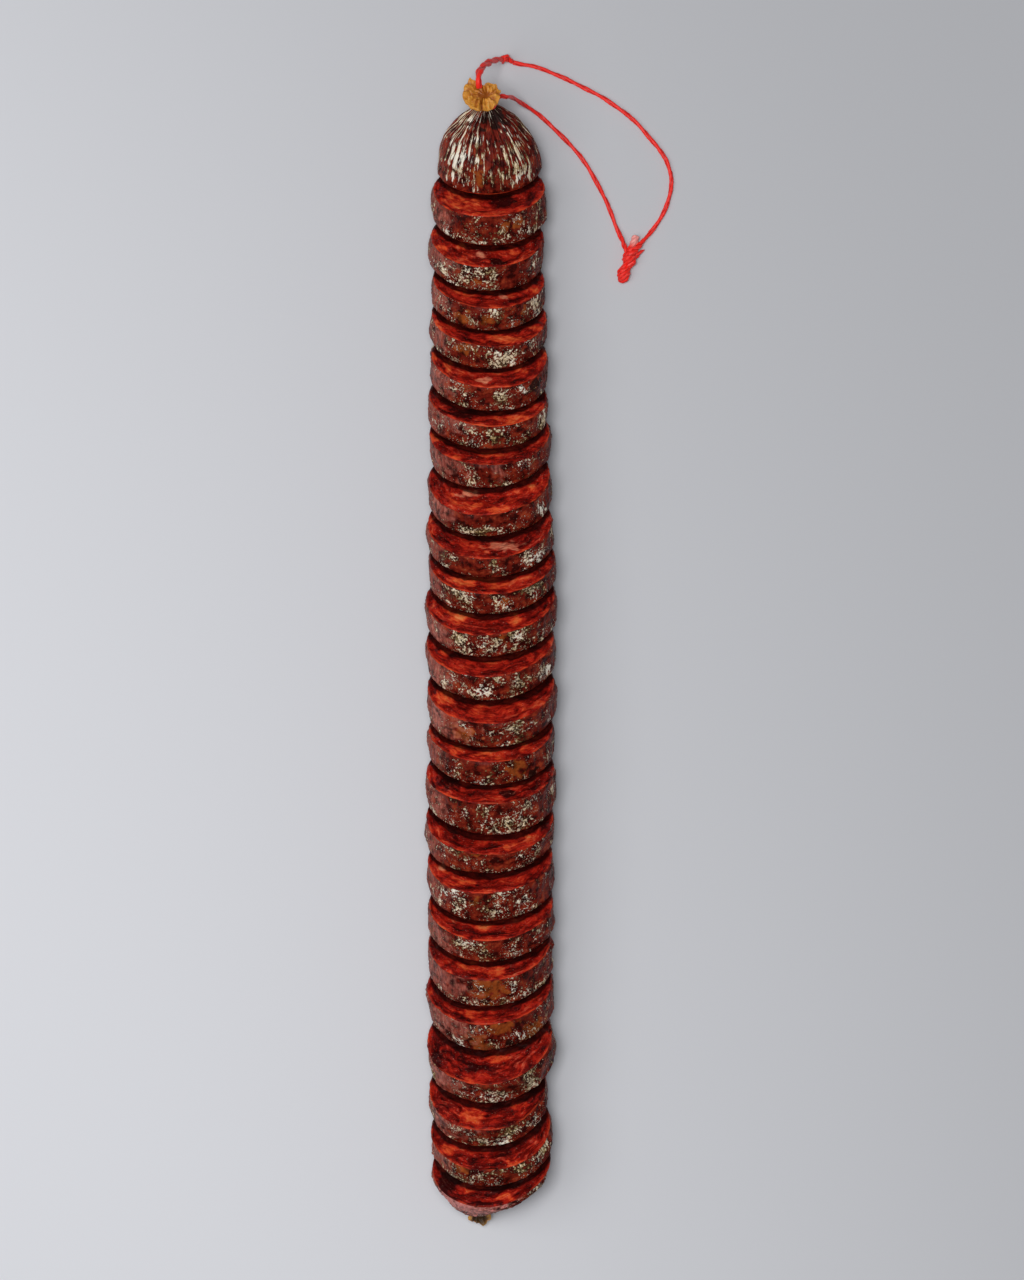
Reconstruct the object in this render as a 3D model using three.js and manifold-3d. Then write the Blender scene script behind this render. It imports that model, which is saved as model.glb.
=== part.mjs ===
// A chorizo: one cured sausage cut into thick slices that lean on each other and keep its shape, with its
// two ends, the gathered casing past each end, and the string loop that it hangs by.
// Millimetres, +Z up, +Y towards the tied end. The origin is on the table, below the middle of the sausage.

import * as THREE from 'three';
import { mergeVertices } from 'three/addons/utils/BufferGeometryUtils.js';
import Module from 'manifold-3d';

const wasm = await Module();
wasm.setup();

const { degToRad, smoothstep } = THREE.MathUtils;

// The cuts
const FIRST_CUT_AT = 204.0; // where the cut under the tied end meets the table
const CUT_GAP = 0.8; // air between two cut faces
const SIDE_OFFSET = -0.7; // shifts all the slices, so that the sausage is centred
const SINK = 0.5; // how much is pressed flat where a piece rests on the table

// The section
const FLATNESS = 0.93; // its height over its width
const UNEVEN = 0.011; // how far an outline wanders, as a part of its radius

// A slice, as parts of its radius and of its thickness
const SLICE_SIDES = 32;
const RIM_IN = 0.036;
const RIM_DOWN = 0.075;
const BELLY = 0.008;

// From the tied end down: the way along the table to the next cut, the width, where the foot lies to the
// side, and the lean and the turn of the upper cut, in degrees. A turned cut has its right side towards the
// tied end.
const SLICES = [
  { step: 17.0, width: 44.0, side: -0.3, lean: 38, turn: 1.5 },
  { step: 19.0, width: 44.5, side: -1.2, lean: 40.5, turn: -1.5 },
  { step: 15.5, width: 44.5, side: -0.7, lean: 38, turn: -3 },
  { step: 13.0, width: 46.0, side: -0.4, lean: 37.5, turn: -3.5 },
  { step: 18.0, width: 46.0, side: -0.2, lean: 39.5, turn: -1.5 },
  { step: 14.0, width: 46.5, side: -0.6, lean: 37.5, turn: -2.5 },
  { step: 12.0, width: 47.5, side: 0.5, lean: 39, turn: -0.5 },
  { step: 19.5, width: 48.5, side: 0.7, lean: 43.5, turn: 5 },
  { step: 17.0, width: 49.5, side: 0.5, lean: 41.5, turn: 3 },
  { step: 14.5, width: 49.5, side: 1.4, lean: 39, turn: 2 },
  { step: 16.0, width: 51.0, side: 1.0, lean: 39, turn: 4 },
  { step: 17.5, width: 50.5, side: 0.8, lean: 39, turn: 3 },
  { step: 20.5, width: 50.5, side: 1.2, lean: 38.5, turn: 2 },
  { step: 15.5, width: 49.5, side: 1.4, lean: 35, turn: 3 },
  { step: 16.5, width: 50.5, side: 0.8, lean: 35, turn: 3 },
  { step: 17.5, width: 50.0, side: 0.5, lean: 39.5, turn: -0.5 },
  { step: 17.5, width: 49.5, side: 1.0, lean: 36, turn: 3.5 },
  { step: 16.5, width: 49.5, side: 1.1, lean: 38, turn: 2.5 },
  { step: 17.0, width: 48.5, side: 0.8, lean: 37, turn: 3 },
  { step: 12.0, width: 49.5, side: 1.2, lean: 39, turn: 5.5 },
  { step: 21.5, width: 49.5, side: 1.2, lean: 48, turn: 7.5 },
  { step: 20.5, width: 46.5, side: 0.4, lean: 47, turn: 5.5 },
  { step: 14.0, width: 48.0, side: 1.8, lean: 43.5, turn: 7.5 },
];

// The tied end
const CAP_WIDTH = 40.6;
const CAP_HEIGHT = 30.2; // from its cut face to the neck
const CAP_DRIFT = -0.4; // the neck lies a little to one side
const CAP_SIDE = -0.2;
const CAP_POWER = 2.3; // how full the dome is
const CAP_SIDES = 60;
const PLEATS = 20;
const PLEAT_DEPTH = 0.55;
const PLEATS_FULL_AT = 24; // height above the cut from which the pleats are at their deepest
const NECK_RADIUS = 2.4;
const NECK_LENGTH = 2.8;

// The other end
const TAIL_WIDTH = 47.6;
const TAIL_FLATNESS = 0.88;
const TAIL_DEPTH = 24.4; // from its cut face to its neck, along the bend
const TAIL_LEAN = 45;
const TAIL_TURN = 7.5;
const TAIL_SIDE = 0.1;
const TAIL_LIFT = 5; // how far the tip bends up, square to the axis of the cut
const TAIL_DRIFT = -8; // and to the side
const TAIL_POWER = 1.8;
const TAIL_SHOULDER = 0.85; // under 1 makes the dome blunter
const TAIL_NECK_RADIUS = 2.8;
const TAIL_POINT = 0.045; // the lower edge of the cut face runs out to a blunt point
const TAIL_POINT_ANGLE = degToRad(112);
const TAIL_SIDES = 44;

const DOME_RINGS = 8;

// The casing gathered past each neck: its section from the neck out and over the rim into the mouth, as
// radius and height; how far the folds reach out and rise; how it tips, cants and leans; and the notch in its rim
const TUFT = {
  section: [
    [0, 0], [2.4, 0], [5.1, 0.2], [5.9, -1.4], [6.5, -1.1], [6.7, 1.4], [6.8, 3.6], [6.2, 5.3], [5.0, 4.6],
    [2.8, 3.6], [0, 3.2],
  ],
  sides: 32, folds: 8, seed: 1.2, reach: 0.08, rise: 0.6, tip: 0.2, cant: 0.28, lean: -0.38,
  notch: { angle: -1.8, width: 0.5, depth: 2.7 },
};
const TAIL_TUFT = {
  section: [[0, 0], [2.6, 0], [3.4, 1.2], [4.3, 2.6], [4.1, 4.2], [3.0, 4.0], [1.6, 2.6], [0, 2.2]],
  sides: 20, folds: 5, seed: 0.5, reach: 0.08, rise: 0.4, tip: 0.1, cant: 0, lean: 0,
  notch: { angle: 1.3, width: 0.8, depth: 0.8 },
};

// The string
const STRING_DIAMETER = 1.8;
const SHANK_DIAMETER = 2.5; // two strands twisted together
const STRING_SIDES = 8;
const TOUCH_GAP = 0.3; // between pieces that touch

// The doubled string's way, from the mouth of the gathered casing down to the small knot
const SHANK_ROUTE = [
  [-4.4, 223.1, 37.5], [-4.7, 225.0, 38.5], [-4.8, 227.1, 38.3], [-4.4, 229.7, 35.9], [-3.3, 232.3, 30.7],
  [-1.6, 234.4, 24.6], [0.4, 236.1, 18.0], [2.3, 237.5, 11.6], [4.1, 238.3, 6.4],
];

// The small knot, where the doubled string becomes a single one
const HITCH_ROUTE = [[4.4, 238.4, 5.6], [5.2, 238.5, 3.8], [6.4, 238.3, 2.4], [7.8, 237.9, 1.7]];
const HITCH_RADII = [0.9, 1.5, 1.5, 0.9];

// From the small knot to the end knot, lying on the table
const LONG_ROUTE = [
  [8.5, 237.7, 1.5], [11.5, 237.0, 1.1], [16.7, 236.2, 1.0], [20.7, 234.9, 1.0], [24.9, 233.2, 1.0],
  [29.1, 231.5, 1.0], [33.1, 229.5, 1.0], [37.1, 227.5, 1.0], [41.1, 225.5, 1.0], [45.5, 223.1, 1.0],
  [49.5, 220.3, 1.0], [53.5, 217.5, 1.0], [57.5, 214.1, 1.0], [60.5, 210.9, 1.0], [63.3, 207.5, 1.0],
  [65.9, 204.5, 1.0], [68.2, 201.5, 1.0], [70.0, 198.4, 1.0], [71.1, 195.3, 1.0], [71.9, 192.3, 1.0],
  [72.0, 189.3, 1.0], [71.7, 186.5, 1.0], [71.1, 183.7, 1.0], [70.1, 180.5, 1.0], [68.7, 177.3, 1.0],
  [66.9, 174.1, 1.0], [64.8, 171.1, 1.1], [62.3, 168.1, 1.5], [59.9, 165.6, 2.1],
];

// From the tie at the neck to the end knot
const SHORT_ROUTE = [
  [3.1, 218.2, 31.2], [4.6, 219.6, 29.7], [6.1, 220.8, 27.0], [7.5, 221.5, 22.4], [9.1, 221.6, 15.8],
  [11.5, 220.9, 9.0], [14.3, 219.6, 4.6], [17.5, 217.8, 1.9], [20.7, 215.3, 1.0], [23.9, 212.3, 1.0],
  [27.3, 209.1, 1.0], [30.3, 206.1, 1.0], [33.1, 203.1, 1.0], [35.3, 200.5, 1.0], [37.2, 197.9, 1.0],
  [39.3, 194.7, 1.0], [41.2, 191.3, 1.0], [42.9, 188.3, 1.0], [44.4, 185.3, 1.0], [46.1, 181.9, 1.0],
  [47.5, 178.3, 1.0], [48.6, 175.5, 1.0], [49.7, 172.5, 1.0], [51.0, 169.5, 1.2], [52.4, 166.4, 1.8],
];

// The end knot, from its cut stub to its tip
const KNOT_ROUTE = [
  [57.4, 168.2, 2.2], [56.2, 164.9, 2.4], [55.0, 161.0, 2.8], [54.6, 157.8, 2.9], [53.8, 155.2, 2.6],
  [52.7, 152.6, 2.7], [51.8, 149.6, 2.0],
];
const KNOT_RADII = [1.5, 1.6, 2.6, 2.9, 2.3, 2.7, 1.0];

const MATERIALS = {
  sausage: new THREE.MeshStandardMaterial({ color: 0x6d2a1e, roughness: 0.5, metalness: 0 }),
  casing: new THREE.MeshStandardMaterial({ color: 0xa6652a, roughness: 0.45, metalness: 0 }),
  string: new THREE.MeshStandardMaterial({ color: 0xd62a22, roughness: 0.4, metalness: 0 }),
};

// Moves every vertex of a geometry to where place(vertex) puts it
function warp(geometry, place) {
  const positions = geometry.attributes.position;
  const vertex = new THREE.Vector3();
  for (let i = 0; i < positions.count; i += 1) {
    const moved = place(vertex.fromBufferAttribute(positions, i));
    positions.setXYZ(i, moved.x, moved.y, moved.z);
  }
  return geometry;
}

// The triangles of a closed geometry, without those that have shrunk to a line
function toSolid(geometry) {
  const bare = geometry.clone();
  bare.deleteAttribute('normal');
  bare.deleteAttribute('uv');
  const merged = mergeVertices(bare, 1e-4);
  const index = Array.from(merged.index.array);
  const triangles = [];
  for (let i = 0; i < index.length; i += 3) {
    const [a, b, c] = index.slice(i, i + 3);
    if (a !== b && b !== c && c !== a) triangles.push(a, b, c);
  }
  return new wasm.Manifold(new wasm.Mesh({
    numProp: 3,
    vertProperties: new Float32Array(merged.attributes.position.array),
    triVerts: new Uint32Array(triangles),
  }));
}

function toGeometry(solid) {
  const { vertProperties, triVerts } = solid.getMesh();
  const geometry = new THREE.BufferGeometry();
  geometry.setAttribute('position', new THREE.BufferAttribute(new Float32Array(vertProperties), 3));
  geometry.setIndex(new THREE.BufferAttribute(new Uint32Array(triVerts), 1));
  geometry.computeVertexNormals();
  return geometry;
}

// Everything under the table's top
const table = toSolid(new THREE.BoxGeometry(400, 800, 60).translate(0, 0, -30));

// How far a piece slides along a slope until its lowest point is SINK under the table
function slideToTable(geometry, slope) {
  geometry.computeBoundingBox();
  return slope.clone().multiplyScalar((-SINK - geometry.boundingBox.min.z) / slope.z);
}

// Slides a piece and cuts off flat what is then under the table
function restOnTable(geometry, slide) {
  return toGeometry(toSolid(geometry.translate(slide.x, slide.y, slide.z)).subtract(table));
}

function mesh(name, geometry, material) {
  const made = new THREE.Mesh(geometry, material);
  made.name = name;
  return made;
}

// The axes of a cut: x across it, y out of it towards the tied end, z up its slope
function cutAt(foot, lean, turn) {
  const attitude = new THREE.Euler(degToRad(lean), 0, degToRad(turn), 'ZXY');
  const matrix = new THREE.Matrix4().makeRotationFromEuler(attitude);
  const [across, axis, up] = [0, 1, 2].map((column) => new THREE.Vector3().setFromMatrixColumn(matrix, column));
  return { foot: new THREE.Vector3(0, foot, 0), across, axis, up };
}

// A point in a cut's axes: out of the cut, and up its slope to a centre that lies at x = side
function onCut(cut, side, out, height) {
  const point = cut.foot.clone().addScaledVector(cut.axis, out).addScaledVector(cut.up, height);
  return point.addScaledVector(cut.across, (side - point.x) / cut.across.x);
}

// A ring's point: radius and angle about a centre, in the plane of across and up
function ringPoint(centre, across, up, radius, angle, flatness = FLATNESS) {
  return centre.clone()
    .addScaledVector(across, radius * Math.cos(angle))
    .addScaledVector(up, radius * flatness * Math.sin(angle));
}

// A cured sausage isn't round: slow waves round the outline, which fade at the foot
function unevenness(angle, seed) {
  const waves = Math.sin(2 * angle + 1.3 * seed) + 0.8 * Math.sin(3 * angle + 0.7 * seed + 1)
    + 0.6 * Math.sin(5 * angle + 2.1 * seed);
  return 1 + UNEVEN * waves * (0.6 + 0.4 * Math.sin(angle));
}

const angleOf = (vertex) => Math.atan2(vertex.z, vertex.x);
const radiusOf = (vertex) => Math.hypot(vertex.x, vertex.z);

function makeSlice(size, upper, lower, seed) {
  const radius = size.width / 2;
  const side = size.side + SIDE_OFFSET;
  const low = onCut(lower, side, CUT_GAP / 2, radius * FLATNESS);
  const axis = lower.axis.clone().add(upper.axis).normalize();
  const upperFoot = upper.foot.clone().addScaledVector(upper.axis, -CUT_GAP / 2);
  const thickness = upperFoot.sub(low).dot(upper.axis) / axis.dot(upper.axis);
  const high = low.clone().addScaledVector(axis, thickness);
  const profile = [
    [0, 0], [1 - RIM_IN, 0], [1, RIM_DOWN], [1 + BELLY, 0.5], [1, 1 - RIM_DOWN], [1 - RIM_IN, 1], [0, 1],
  ].map(([r, h]) => new THREE.Vector2(r, h));
  const disc = warp(new THREE.LatheGeometry(profile, SLICE_SIDES), (vertex) => {
    const angle = angleOf(vertex);
    const reach = radius * radiusOf(vertex) * unevenness(angle, seed);
    const below = ringPoint(low, lower.across, lower.up, reach, angle);
    const above = ringPoint(high, upper.across, upper.up, reach, angle);
    return below.lerp(above, vertex.y);
  });
  return restOnTable(disc, slideToTable(disc, lower.up));
}

// The rings of a dome from its cut to its neck, closer together near the neck. Its radius is full at the
// cut and goes round to the neck's.
function domeProfile(height, full, neck, power, shoulder) {
  const rings = [];
  for (let i = 0; i <= DOME_RINGS; i += 1) {
    const t = Math.sin((Math.PI / 2) * THREE.MathUtils.lerp(0.04, 1, i / DOME_RINGS));
    rings.push(new THREE.Vector2(neck + (full - neck) * (1 - t ** power) ** shoulder, height * t));
  }
  return rings;
}

function makeCap(cut) {
  const radius = CAP_WIDTH / 2;
  const profile = [
    new THREE.Vector2(0, 0),
    new THREE.Vector2(radius * (1 - RIM_IN), 0),
    ...domeProfile(CAP_HEIGHT, radius, NECK_RADIUS, CAP_POWER, 1),
    new THREE.Vector2(NECK_RADIUS, CAP_HEIGHT + NECK_LENGTH),
    new THREE.Vector2(0, CAP_HEIGHT + NECK_LENGTH),
  ];
  const centre = onCut(cut, CAP_SIDE + SIDE_OFFSET, CUT_GAP / 2, radius * FLATNESS);
  const cap = warp(new THREE.LatheGeometry(profile, CAP_SIDES), (vertex) => {
    const angle = angleOf(vertex);
    const gathered = vertex.y > CAP_HEIGHT - TOUCH_GAP ? 0 : smoothstep(vertex.y, 0, PLEATS_FULL_AT);
    const pleat = PLEAT_DEPTH * gathered * Math.cos(PLEATS * angle) * (0.7 + 0.3 * Math.sin(3 * angle + 1));
    const r = radiusOf(vertex);
    const reach = r < 0.01 ? 0 : r * unevenness(angle, 0.4) + pleat;
    const drift = CAP_DRIFT * Math.min(1, vertex.y / CAP_HEIGHT) ** 2;
    return ringPoint(centre, cut.across, cut.up, reach, angle)
      .addScaledVector(cut.axis, vertex.y)
      .addScaledVector(cut.across, drift);
  });
  const slide = slideToTable(cap, cut.up);
  const neck = centre.add(slide)
    .addScaledVector(cut.axis, CAP_HEIGHT + NECK_LENGTH)
    .addScaledVector(cut.across, CAP_DRIFT);
  return { geometry: restOnTable(cap, slide), neck };
}

// The ring of the tail end at a depth below its cut: its axis bends up and to one side
function tailRing(cut, centre, depth) {
  const t = depth / TAIL_DEPTH;
  const tilt = Math.atan((2 * TAIL_LIFT * t) / TAIL_DEPTH);
  const middle = centre.clone()
    .addScaledVector(cut.axis, -depth)
    .addScaledVector(cut.up, TAIL_LIFT * t * t)
    .addScaledVector(cut.across, TAIL_DRIFT * t * t);
  const up = cut.up.clone().multiplyScalar(Math.cos(tilt)).addScaledVector(cut.axis, Math.sin(tilt));
  const axis = cut.axis.clone().multiplyScalar(Math.cos(tilt)).addScaledVector(cut.up, -Math.sin(tilt));
  return { middle, up, axis };
}

function makeTailEnd(cut) {
  const radius = TAIL_WIDTH / 2;
  const profile = [
    new THREE.Vector2(0, -TAIL_DEPTH),
    ...domeProfile(-TAIL_DEPTH, radius, TAIL_NECK_RADIUS, TAIL_POWER, TAIL_SHOULDER).reverse(),
    new THREE.Vector2(radius * (1 - RIM_IN), 0),
    new THREE.Vector2(0, 0),
  ];
  const centre = onCut(cut, TAIL_SIDE + SIDE_OFFSET, -CUT_GAP / 2, radius * FLATNESS);
  const end = warp(new THREE.LatheGeometry(profile, TAIL_SIDES), (vertex) => {
    const angle = angleOf(vertex);
    const point = 1 + TAIL_POINT * Math.max(0, Math.cos(angle - TAIL_POINT_ANGLE)) ** 4;
    const reach = radiusOf(vertex) * unevenness(angle, 3.1) * point;
    const { middle, up } = tailRing(cut, centre, -vertex.y);
    return ringPoint(middle, cut.across, up, reach, angle, TAIL_FLATNESS);
  });
  const slide = slideToTable(end, cut.up);
  return { geometry: restOnTable(end, slide), tip: tailRing(cut, centre.add(slide), TAIL_DEPTH) };
}

// Casing gathered past a neck: a crumpled cup whose mouth opens along its axis. The folds are waves of the
// radius that grow outwards, and the rim rises and falls with them.
function gatheredCasing({ section, sides, folds, seed, reach, rise, tip, cant, lean, notch }) {
  const profile = section.map(([r, h]) => new THREE.Vector2(r, h));
  const widest = Math.max(...section.map(([r]) => r));
  return warp(new THREE.LatheGeometry(profile, sides), (vertex) => {
    const angle = angleOf(vertex);
    const open = (radiusOf(vertex) / widest) ** 2;
    const wave = Math.cos(folds * angle + seed) + 0.5 * Math.cos((folds - 3) * angle + 2 * seed);
    const spread = 1 + reach * open * wave + reach * open * Math.cos(2 * angle + seed);
    const off = Math.atan2(Math.sin(angle - notch.angle), Math.cos(angle - notch.angle));
    const dip = notch.depth * open * Math.exp(-((off / notch.width) ** 2)) * Math.max(0, Math.sign(vertex.y));
    const slope = tip * vertex.z + cant * vertex.x;
    const height = vertex.y + open * (rise * wave - slope) - dip;
    return new THREE.Vector3(vertex.x * spread + lean * Math.max(0, vertex.y), height, vertex.z * spread);
  });
}

// Stands a piece that was made along +Y about a point, with its axis and its up side given
function stand(geometry, point, axis, up) {
  const across = new THREE.Vector3().crossVectors(axis, up).normalize();
  const matrix = new THREE.Matrix4().makeBasis(across, axis, up).setPosition(point);
  return geometry.applyMatrix4(matrix);
}

function circle(diameter) {
  const shape = new THREE.Shape();
  for (let i = 0; i < STRING_SIDES; i += 1) {
    const angle = (2 * Math.PI * (i + 0.5)) / STRING_SIDES;
    const place = [0.5 * diameter * Math.cos(angle), 0.5 * diameter * Math.sin(angle)];
    if (i === 0) shape.moveTo(...place);
    else shape.lineTo(...place);
  }
  shape.closePath();
  return shape;
}

function tube(points, diameter, steps) {
  const path = new THREE.CatmullRomCurve3(points, false, 'centripetal');
  const options = { steps, bevelEnabled: false, extrudePath: path };
  return toGeometry(toSolid(new THREE.ExtrudeGeometry(circle(diameter), options)));
}

const toVectors = (route) => route.map(([x, y, z]) => new THREE.Vector3(x, y, z));

// A turn of string pulled tight round the neck
function makeTie(cut, centre) {
  const ring = new THREE.TorusGeometry(NECK_RADIUS + TOUCH_GAP + STRING_DIAMETER / 2, STRING_DIAMETER / 2, 8, 20);
  return toGeometry(toSolid(stand(ring.rotateX(-Math.PI / 2), centre, cut.axis, cut.up)));
}

// A knot: a thick strand along a route, whose radius swells at each lobe
function makeKnot(route, radii) {
  const path = new THREE.CatmullRomCurve3(toVectors(route), false, 'centripetal');
  const bands = 2 * (radii.length - 1);
  const swell = new THREE.CatmullRomCurve3(radii.map((radius, i) => new THREE.Vector3(i, radius, 0)));
  const frames = path.computeFrenetFrames(bands, false);
  const made = new THREE.CylinderGeometry(1, 1, bands, 12, bands);
  return warp(made, (vertex) => {
    const band = Math.round(vertex.y + bands / 2);
    const radius = swell.getPoint(band / bands).y;
    return path.getPointAt(band / bands)
      .addScaledVector(frames.normals[band], radius * vertex.x)
      .addScaledVector(frames.binormals[band], -radius * vertex.z);
  });
}

const chorizo = new THREE.Group();

// Every cut, from the tied end down
let foot = FIRST_CUT_AT;
const cuts = SLICES.map((size) => {
  const cut = cutAt(foot, size.lean, size.turn);
  foot -= size.step;
  return cut;
});
cuts.push(cutAt(foot, TAIL_LEAN, TAIL_TURN));

const cap = makeCap(cuts[0]);
chorizo.add(mesh('end_cap', cap.geometry, MATERIALS.sausage));
SLICES.forEach((size, i) => {
  const name = `slice_${String(i + 1).padStart(2, '0')}`;
  chorizo.add(mesh(name, makeSlice(size, cuts[i], cuts[i + 1], i + 1), MATERIALS.sausage));
});
const tail = makeTailEnd(cuts.at(-1));
chorizo.add(mesh('tail_end', tail.geometry, MATERIALS.sausage));

const tuftFoot = cap.neck.clone().addScaledVector(cuts[0].axis, 2 * TOUCH_GAP);
const tuft = stand(gatheredCasing(TUFT), tuftFoot, cuts[0].axis, cuts[0].up);
chorizo.add(mesh('casing_tuft', toGeometry(toSolid(tuft)), MATERIALS.casing));

const tipAxis = tail.tip.axis.clone().negate();
const tipFoot = tail.tip.middle.clone().addScaledVector(tipAxis, 2 * TOUCH_GAP);
const tip = stand(gatheredCasing(TAIL_TUFT), tipFoot, tipAxis, tail.tip.up);
chorizo.add(mesh('casing_tail', toGeometry(toSolid(tip)), MATERIALS.casing));

const tieCentre = cap.neck.clone().addScaledVector(cuts[0].axis, -STRING_DIAMETER / 2 - 2 * TOUCH_GAP);
chorizo.add(mesh('neck_tie', makeTie(cuts[0], tieCentre), MATERIALS.string));
chorizo.add(mesh('string_shank', tube(toVectors(SHANK_ROUTE), SHANK_DIAMETER, 14), MATERIALS.string));
chorizo.add(mesh('string_hitch', makeKnot(HITCH_ROUTE, HITCH_RADII), MATERIALS.string));
chorizo.add(mesh('string_long', tube(toVectors(LONG_ROUTE), STRING_DIAMETER, 30), MATERIALS.string));
chorizo.add(mesh('string_short', tube(toVectors(SHORT_ROUTE), STRING_DIAMETER, 28), MATERIALS.string));
chorizo.add(mesh('string_knot', makeKnot(KNOT_ROUTE, KNOT_RADII), MATERIALS.string));

export default chorizo;
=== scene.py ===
"""The looks of a cured chorizo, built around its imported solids: thick slices that lean on each other and keep
the sausage's shape, a pleated tied end, the other end, the dried casing gathered past both, and its red
string. Metres, +Z up, +Y towards the tied end."""

import math
from types import SimpleNamespace

import bpy
import numpy as np
from bpy.props import FloatProperty, FloatVectorProperty, IntProperty, PointerProperty
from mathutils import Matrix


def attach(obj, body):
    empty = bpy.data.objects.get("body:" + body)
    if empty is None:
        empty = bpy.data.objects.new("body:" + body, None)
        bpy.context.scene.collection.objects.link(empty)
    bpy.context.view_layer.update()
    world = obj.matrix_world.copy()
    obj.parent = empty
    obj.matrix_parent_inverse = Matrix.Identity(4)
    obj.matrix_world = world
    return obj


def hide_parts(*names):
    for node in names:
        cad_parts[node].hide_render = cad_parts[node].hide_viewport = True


bl_info = {
    "name": "Sliced chorizo",
    "version": (1, 0, 0),
    "blender": (4, 5, 0),
    "location": "3D View > Sidebar > Chorizo",
    "description": "Builds a sliced chorizo with its casing, mould and string",
    "category": "Object",
}

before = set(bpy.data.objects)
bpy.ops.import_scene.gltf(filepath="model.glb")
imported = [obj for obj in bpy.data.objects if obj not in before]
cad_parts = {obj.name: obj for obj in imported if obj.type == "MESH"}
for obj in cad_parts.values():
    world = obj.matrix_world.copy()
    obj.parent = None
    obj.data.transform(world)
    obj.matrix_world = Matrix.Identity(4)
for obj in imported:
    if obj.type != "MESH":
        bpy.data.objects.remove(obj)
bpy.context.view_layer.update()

BODY = "root"
TAU = 2 * math.pi
MM = 0.001

# The picture: the camera looks straight down
IMAGE_LONG_SIDE = 1280
FOCAL_PIXELS = 4750
SENSOR_MM = 36
CAMERA_FOOT = (0.0083, 0.0068)
CAMERA_HEIGHT = 1.9
CLIP_START = 0.05
CLIP_END = 20

# The studio: a softbox overhead, a weak one from the left, a pale sky, and a floor just under the sausage, with
# a painted falloff of light that darkens it towards the far right
SOFTBOX_SIZE = 0.7
KEY_PLACE = (-0.18, 0.08, 2.2)
FILL_PLACE = (-0.60, -0.10, 1.0)
SKY_TINT = (0.93, 0.96, 1.0, 1.0)
FLOOR_REACH = 6.0
FLOOR_HEIGHT = -0.00002
FLOOR_PAINTED_FALLOFF = 0.66
FLOOR_PAINTED_FALLOFF_REACH = 0.35

# The cuts
FIRST_CUT_AT = 0.204
CUT_GAP = 0.0008
SIDE_OFFSET = -0.0007
SINK = 0.0005

# The section, with the rings of a slice's upper face, side and lower face and those of a rounded edge, and
# which of those is where the casing ends
FLATNESS = 0.93
UNEVEN = 0.011
RIM_IN = 0.036
RIM_DOWN = 0.075
BELLY = 0.008
SLICE_RINGS = (42, 34, 10)
CORNER_RINGS = 6
CASING_RING = 3
EDGE_BLEND = 0.0012
TOP_GATHER = 0.3

# How many cosines make up one layer of ripples
RIPPLE_COUNT = 22

# From the tied end down: the way along the table to the next cut, the width, where the foot lies to the side,
# and the lean and the turn of the upper cut, in degrees. A turn brings the right side nearer the tied end.
SLICES = (
    (0.0170, 0.0440, -0.0003, 38.0, 1.5),
    (0.0190, 0.0445, -0.0012, 40.5, -1.5),
    (0.0155, 0.0445, -0.0007, 38.0, -3.0),
    (0.0130, 0.0460, -0.0004, 37.5, -3.5),
    (0.0180, 0.0460, -0.0002, 39.5, -1.5),
    (0.0140, 0.0465, -0.0006, 37.5, -2.5),
    (0.0120, 0.0475, 0.0005, 39.0, -0.5),
    (0.0195, 0.0485, 0.0007, 43.5, 5.0),
    (0.0170, 0.0495, 0.0005, 41.5, 3.0),
    (0.0145, 0.0495, 0.0014, 39.0, 2.0),
    (0.0160, 0.0510, 0.0010, 39.0, 4.0),
    (0.0175, 0.0505, 0.0008, 39.0, 3.0),
    (0.0205, 0.0505, 0.0012, 38.5, 2.0),
    (0.0155, 0.0495, 0.0014, 35.0, 3.0),
    (0.0165, 0.0505, 0.0008, 35.0, 3.0),
    (0.0175, 0.0500, 0.0005, 39.5, -0.5),
    (0.0175, 0.0495, 0.0010, 36.0, 3.5),
    (0.0165, 0.0495, 0.0011, 38.0, 2.5),
    (0.0170, 0.0485, 0.0008, 37.0, 3.0),
    (0.0120, 0.0495, 0.0012, 39.0, 5.5),
    (0.0215, 0.0495, 0.0012, 48.0, 7.5),
    (0.0205, 0.0465, 0.0004, 47.0, 5.5),
    (0.0140, 0.0480, 0.0018, 43.5, 7.5),
)

# The number of the other end, and the first slices whose meat is leaner and whose casing is ridged
TAIL_NUMBER = len(SLICES) + 1
LEANER_FROM = 21
RIDGED_FROM = 22

# The tied end, and its rings on the cut face, on the dome and on the neck
CAP_RINGS = (24, 120, 5)
CAP_COLUMNS = 600
CAP_WIDTH = 0.0406
CAP_HEIGHT = 0.0302
CAP_DRIFT = -0.0004
CAP_SIDE = -0.0002
CAP_POWER = 2.3
NECK_RADIUS = 0.0024
NECK_LENGTH = 0.0028
CAP_SEED = 0.4

# The other end, its rings on the cut face and on the dome
TAIL_RINGS = (60, 90)
TAIL_COLUMNS = 420
TAIL_WIDTH = 0.0476
TAIL_FLATNESS = 0.88
TAIL_DEPTH = 0.0244
TAIL_LEAN = 45.0
TAIL_TURN = 7.5
TAIL_SIDE = 0.0001
TAIL_LIFT = 0.005
TAIL_DRIFT = -0.008
TAIL_POWER = 1.8
TAIL_SHOULDER = 0.85
TAIL_NECK_RADIUS = 0.0028
TAIL_POINT = 0.045
TAIL_POINT_ANGLE = math.radians(112)
TAIL_SEED = 3.1

# The gathers of casing: their rings on the skirt, over the rim and on the top, the gap before their foot, and
# how far the one at the other end tips up
GATHER_RINGS = (40, 10, 60)
TUFT_COLUMNS = 420
TAIL_GATHER_COLUMNS = 240
FOOT_GAP = 0.0006
GATHER_RISE = 1.2

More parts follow.
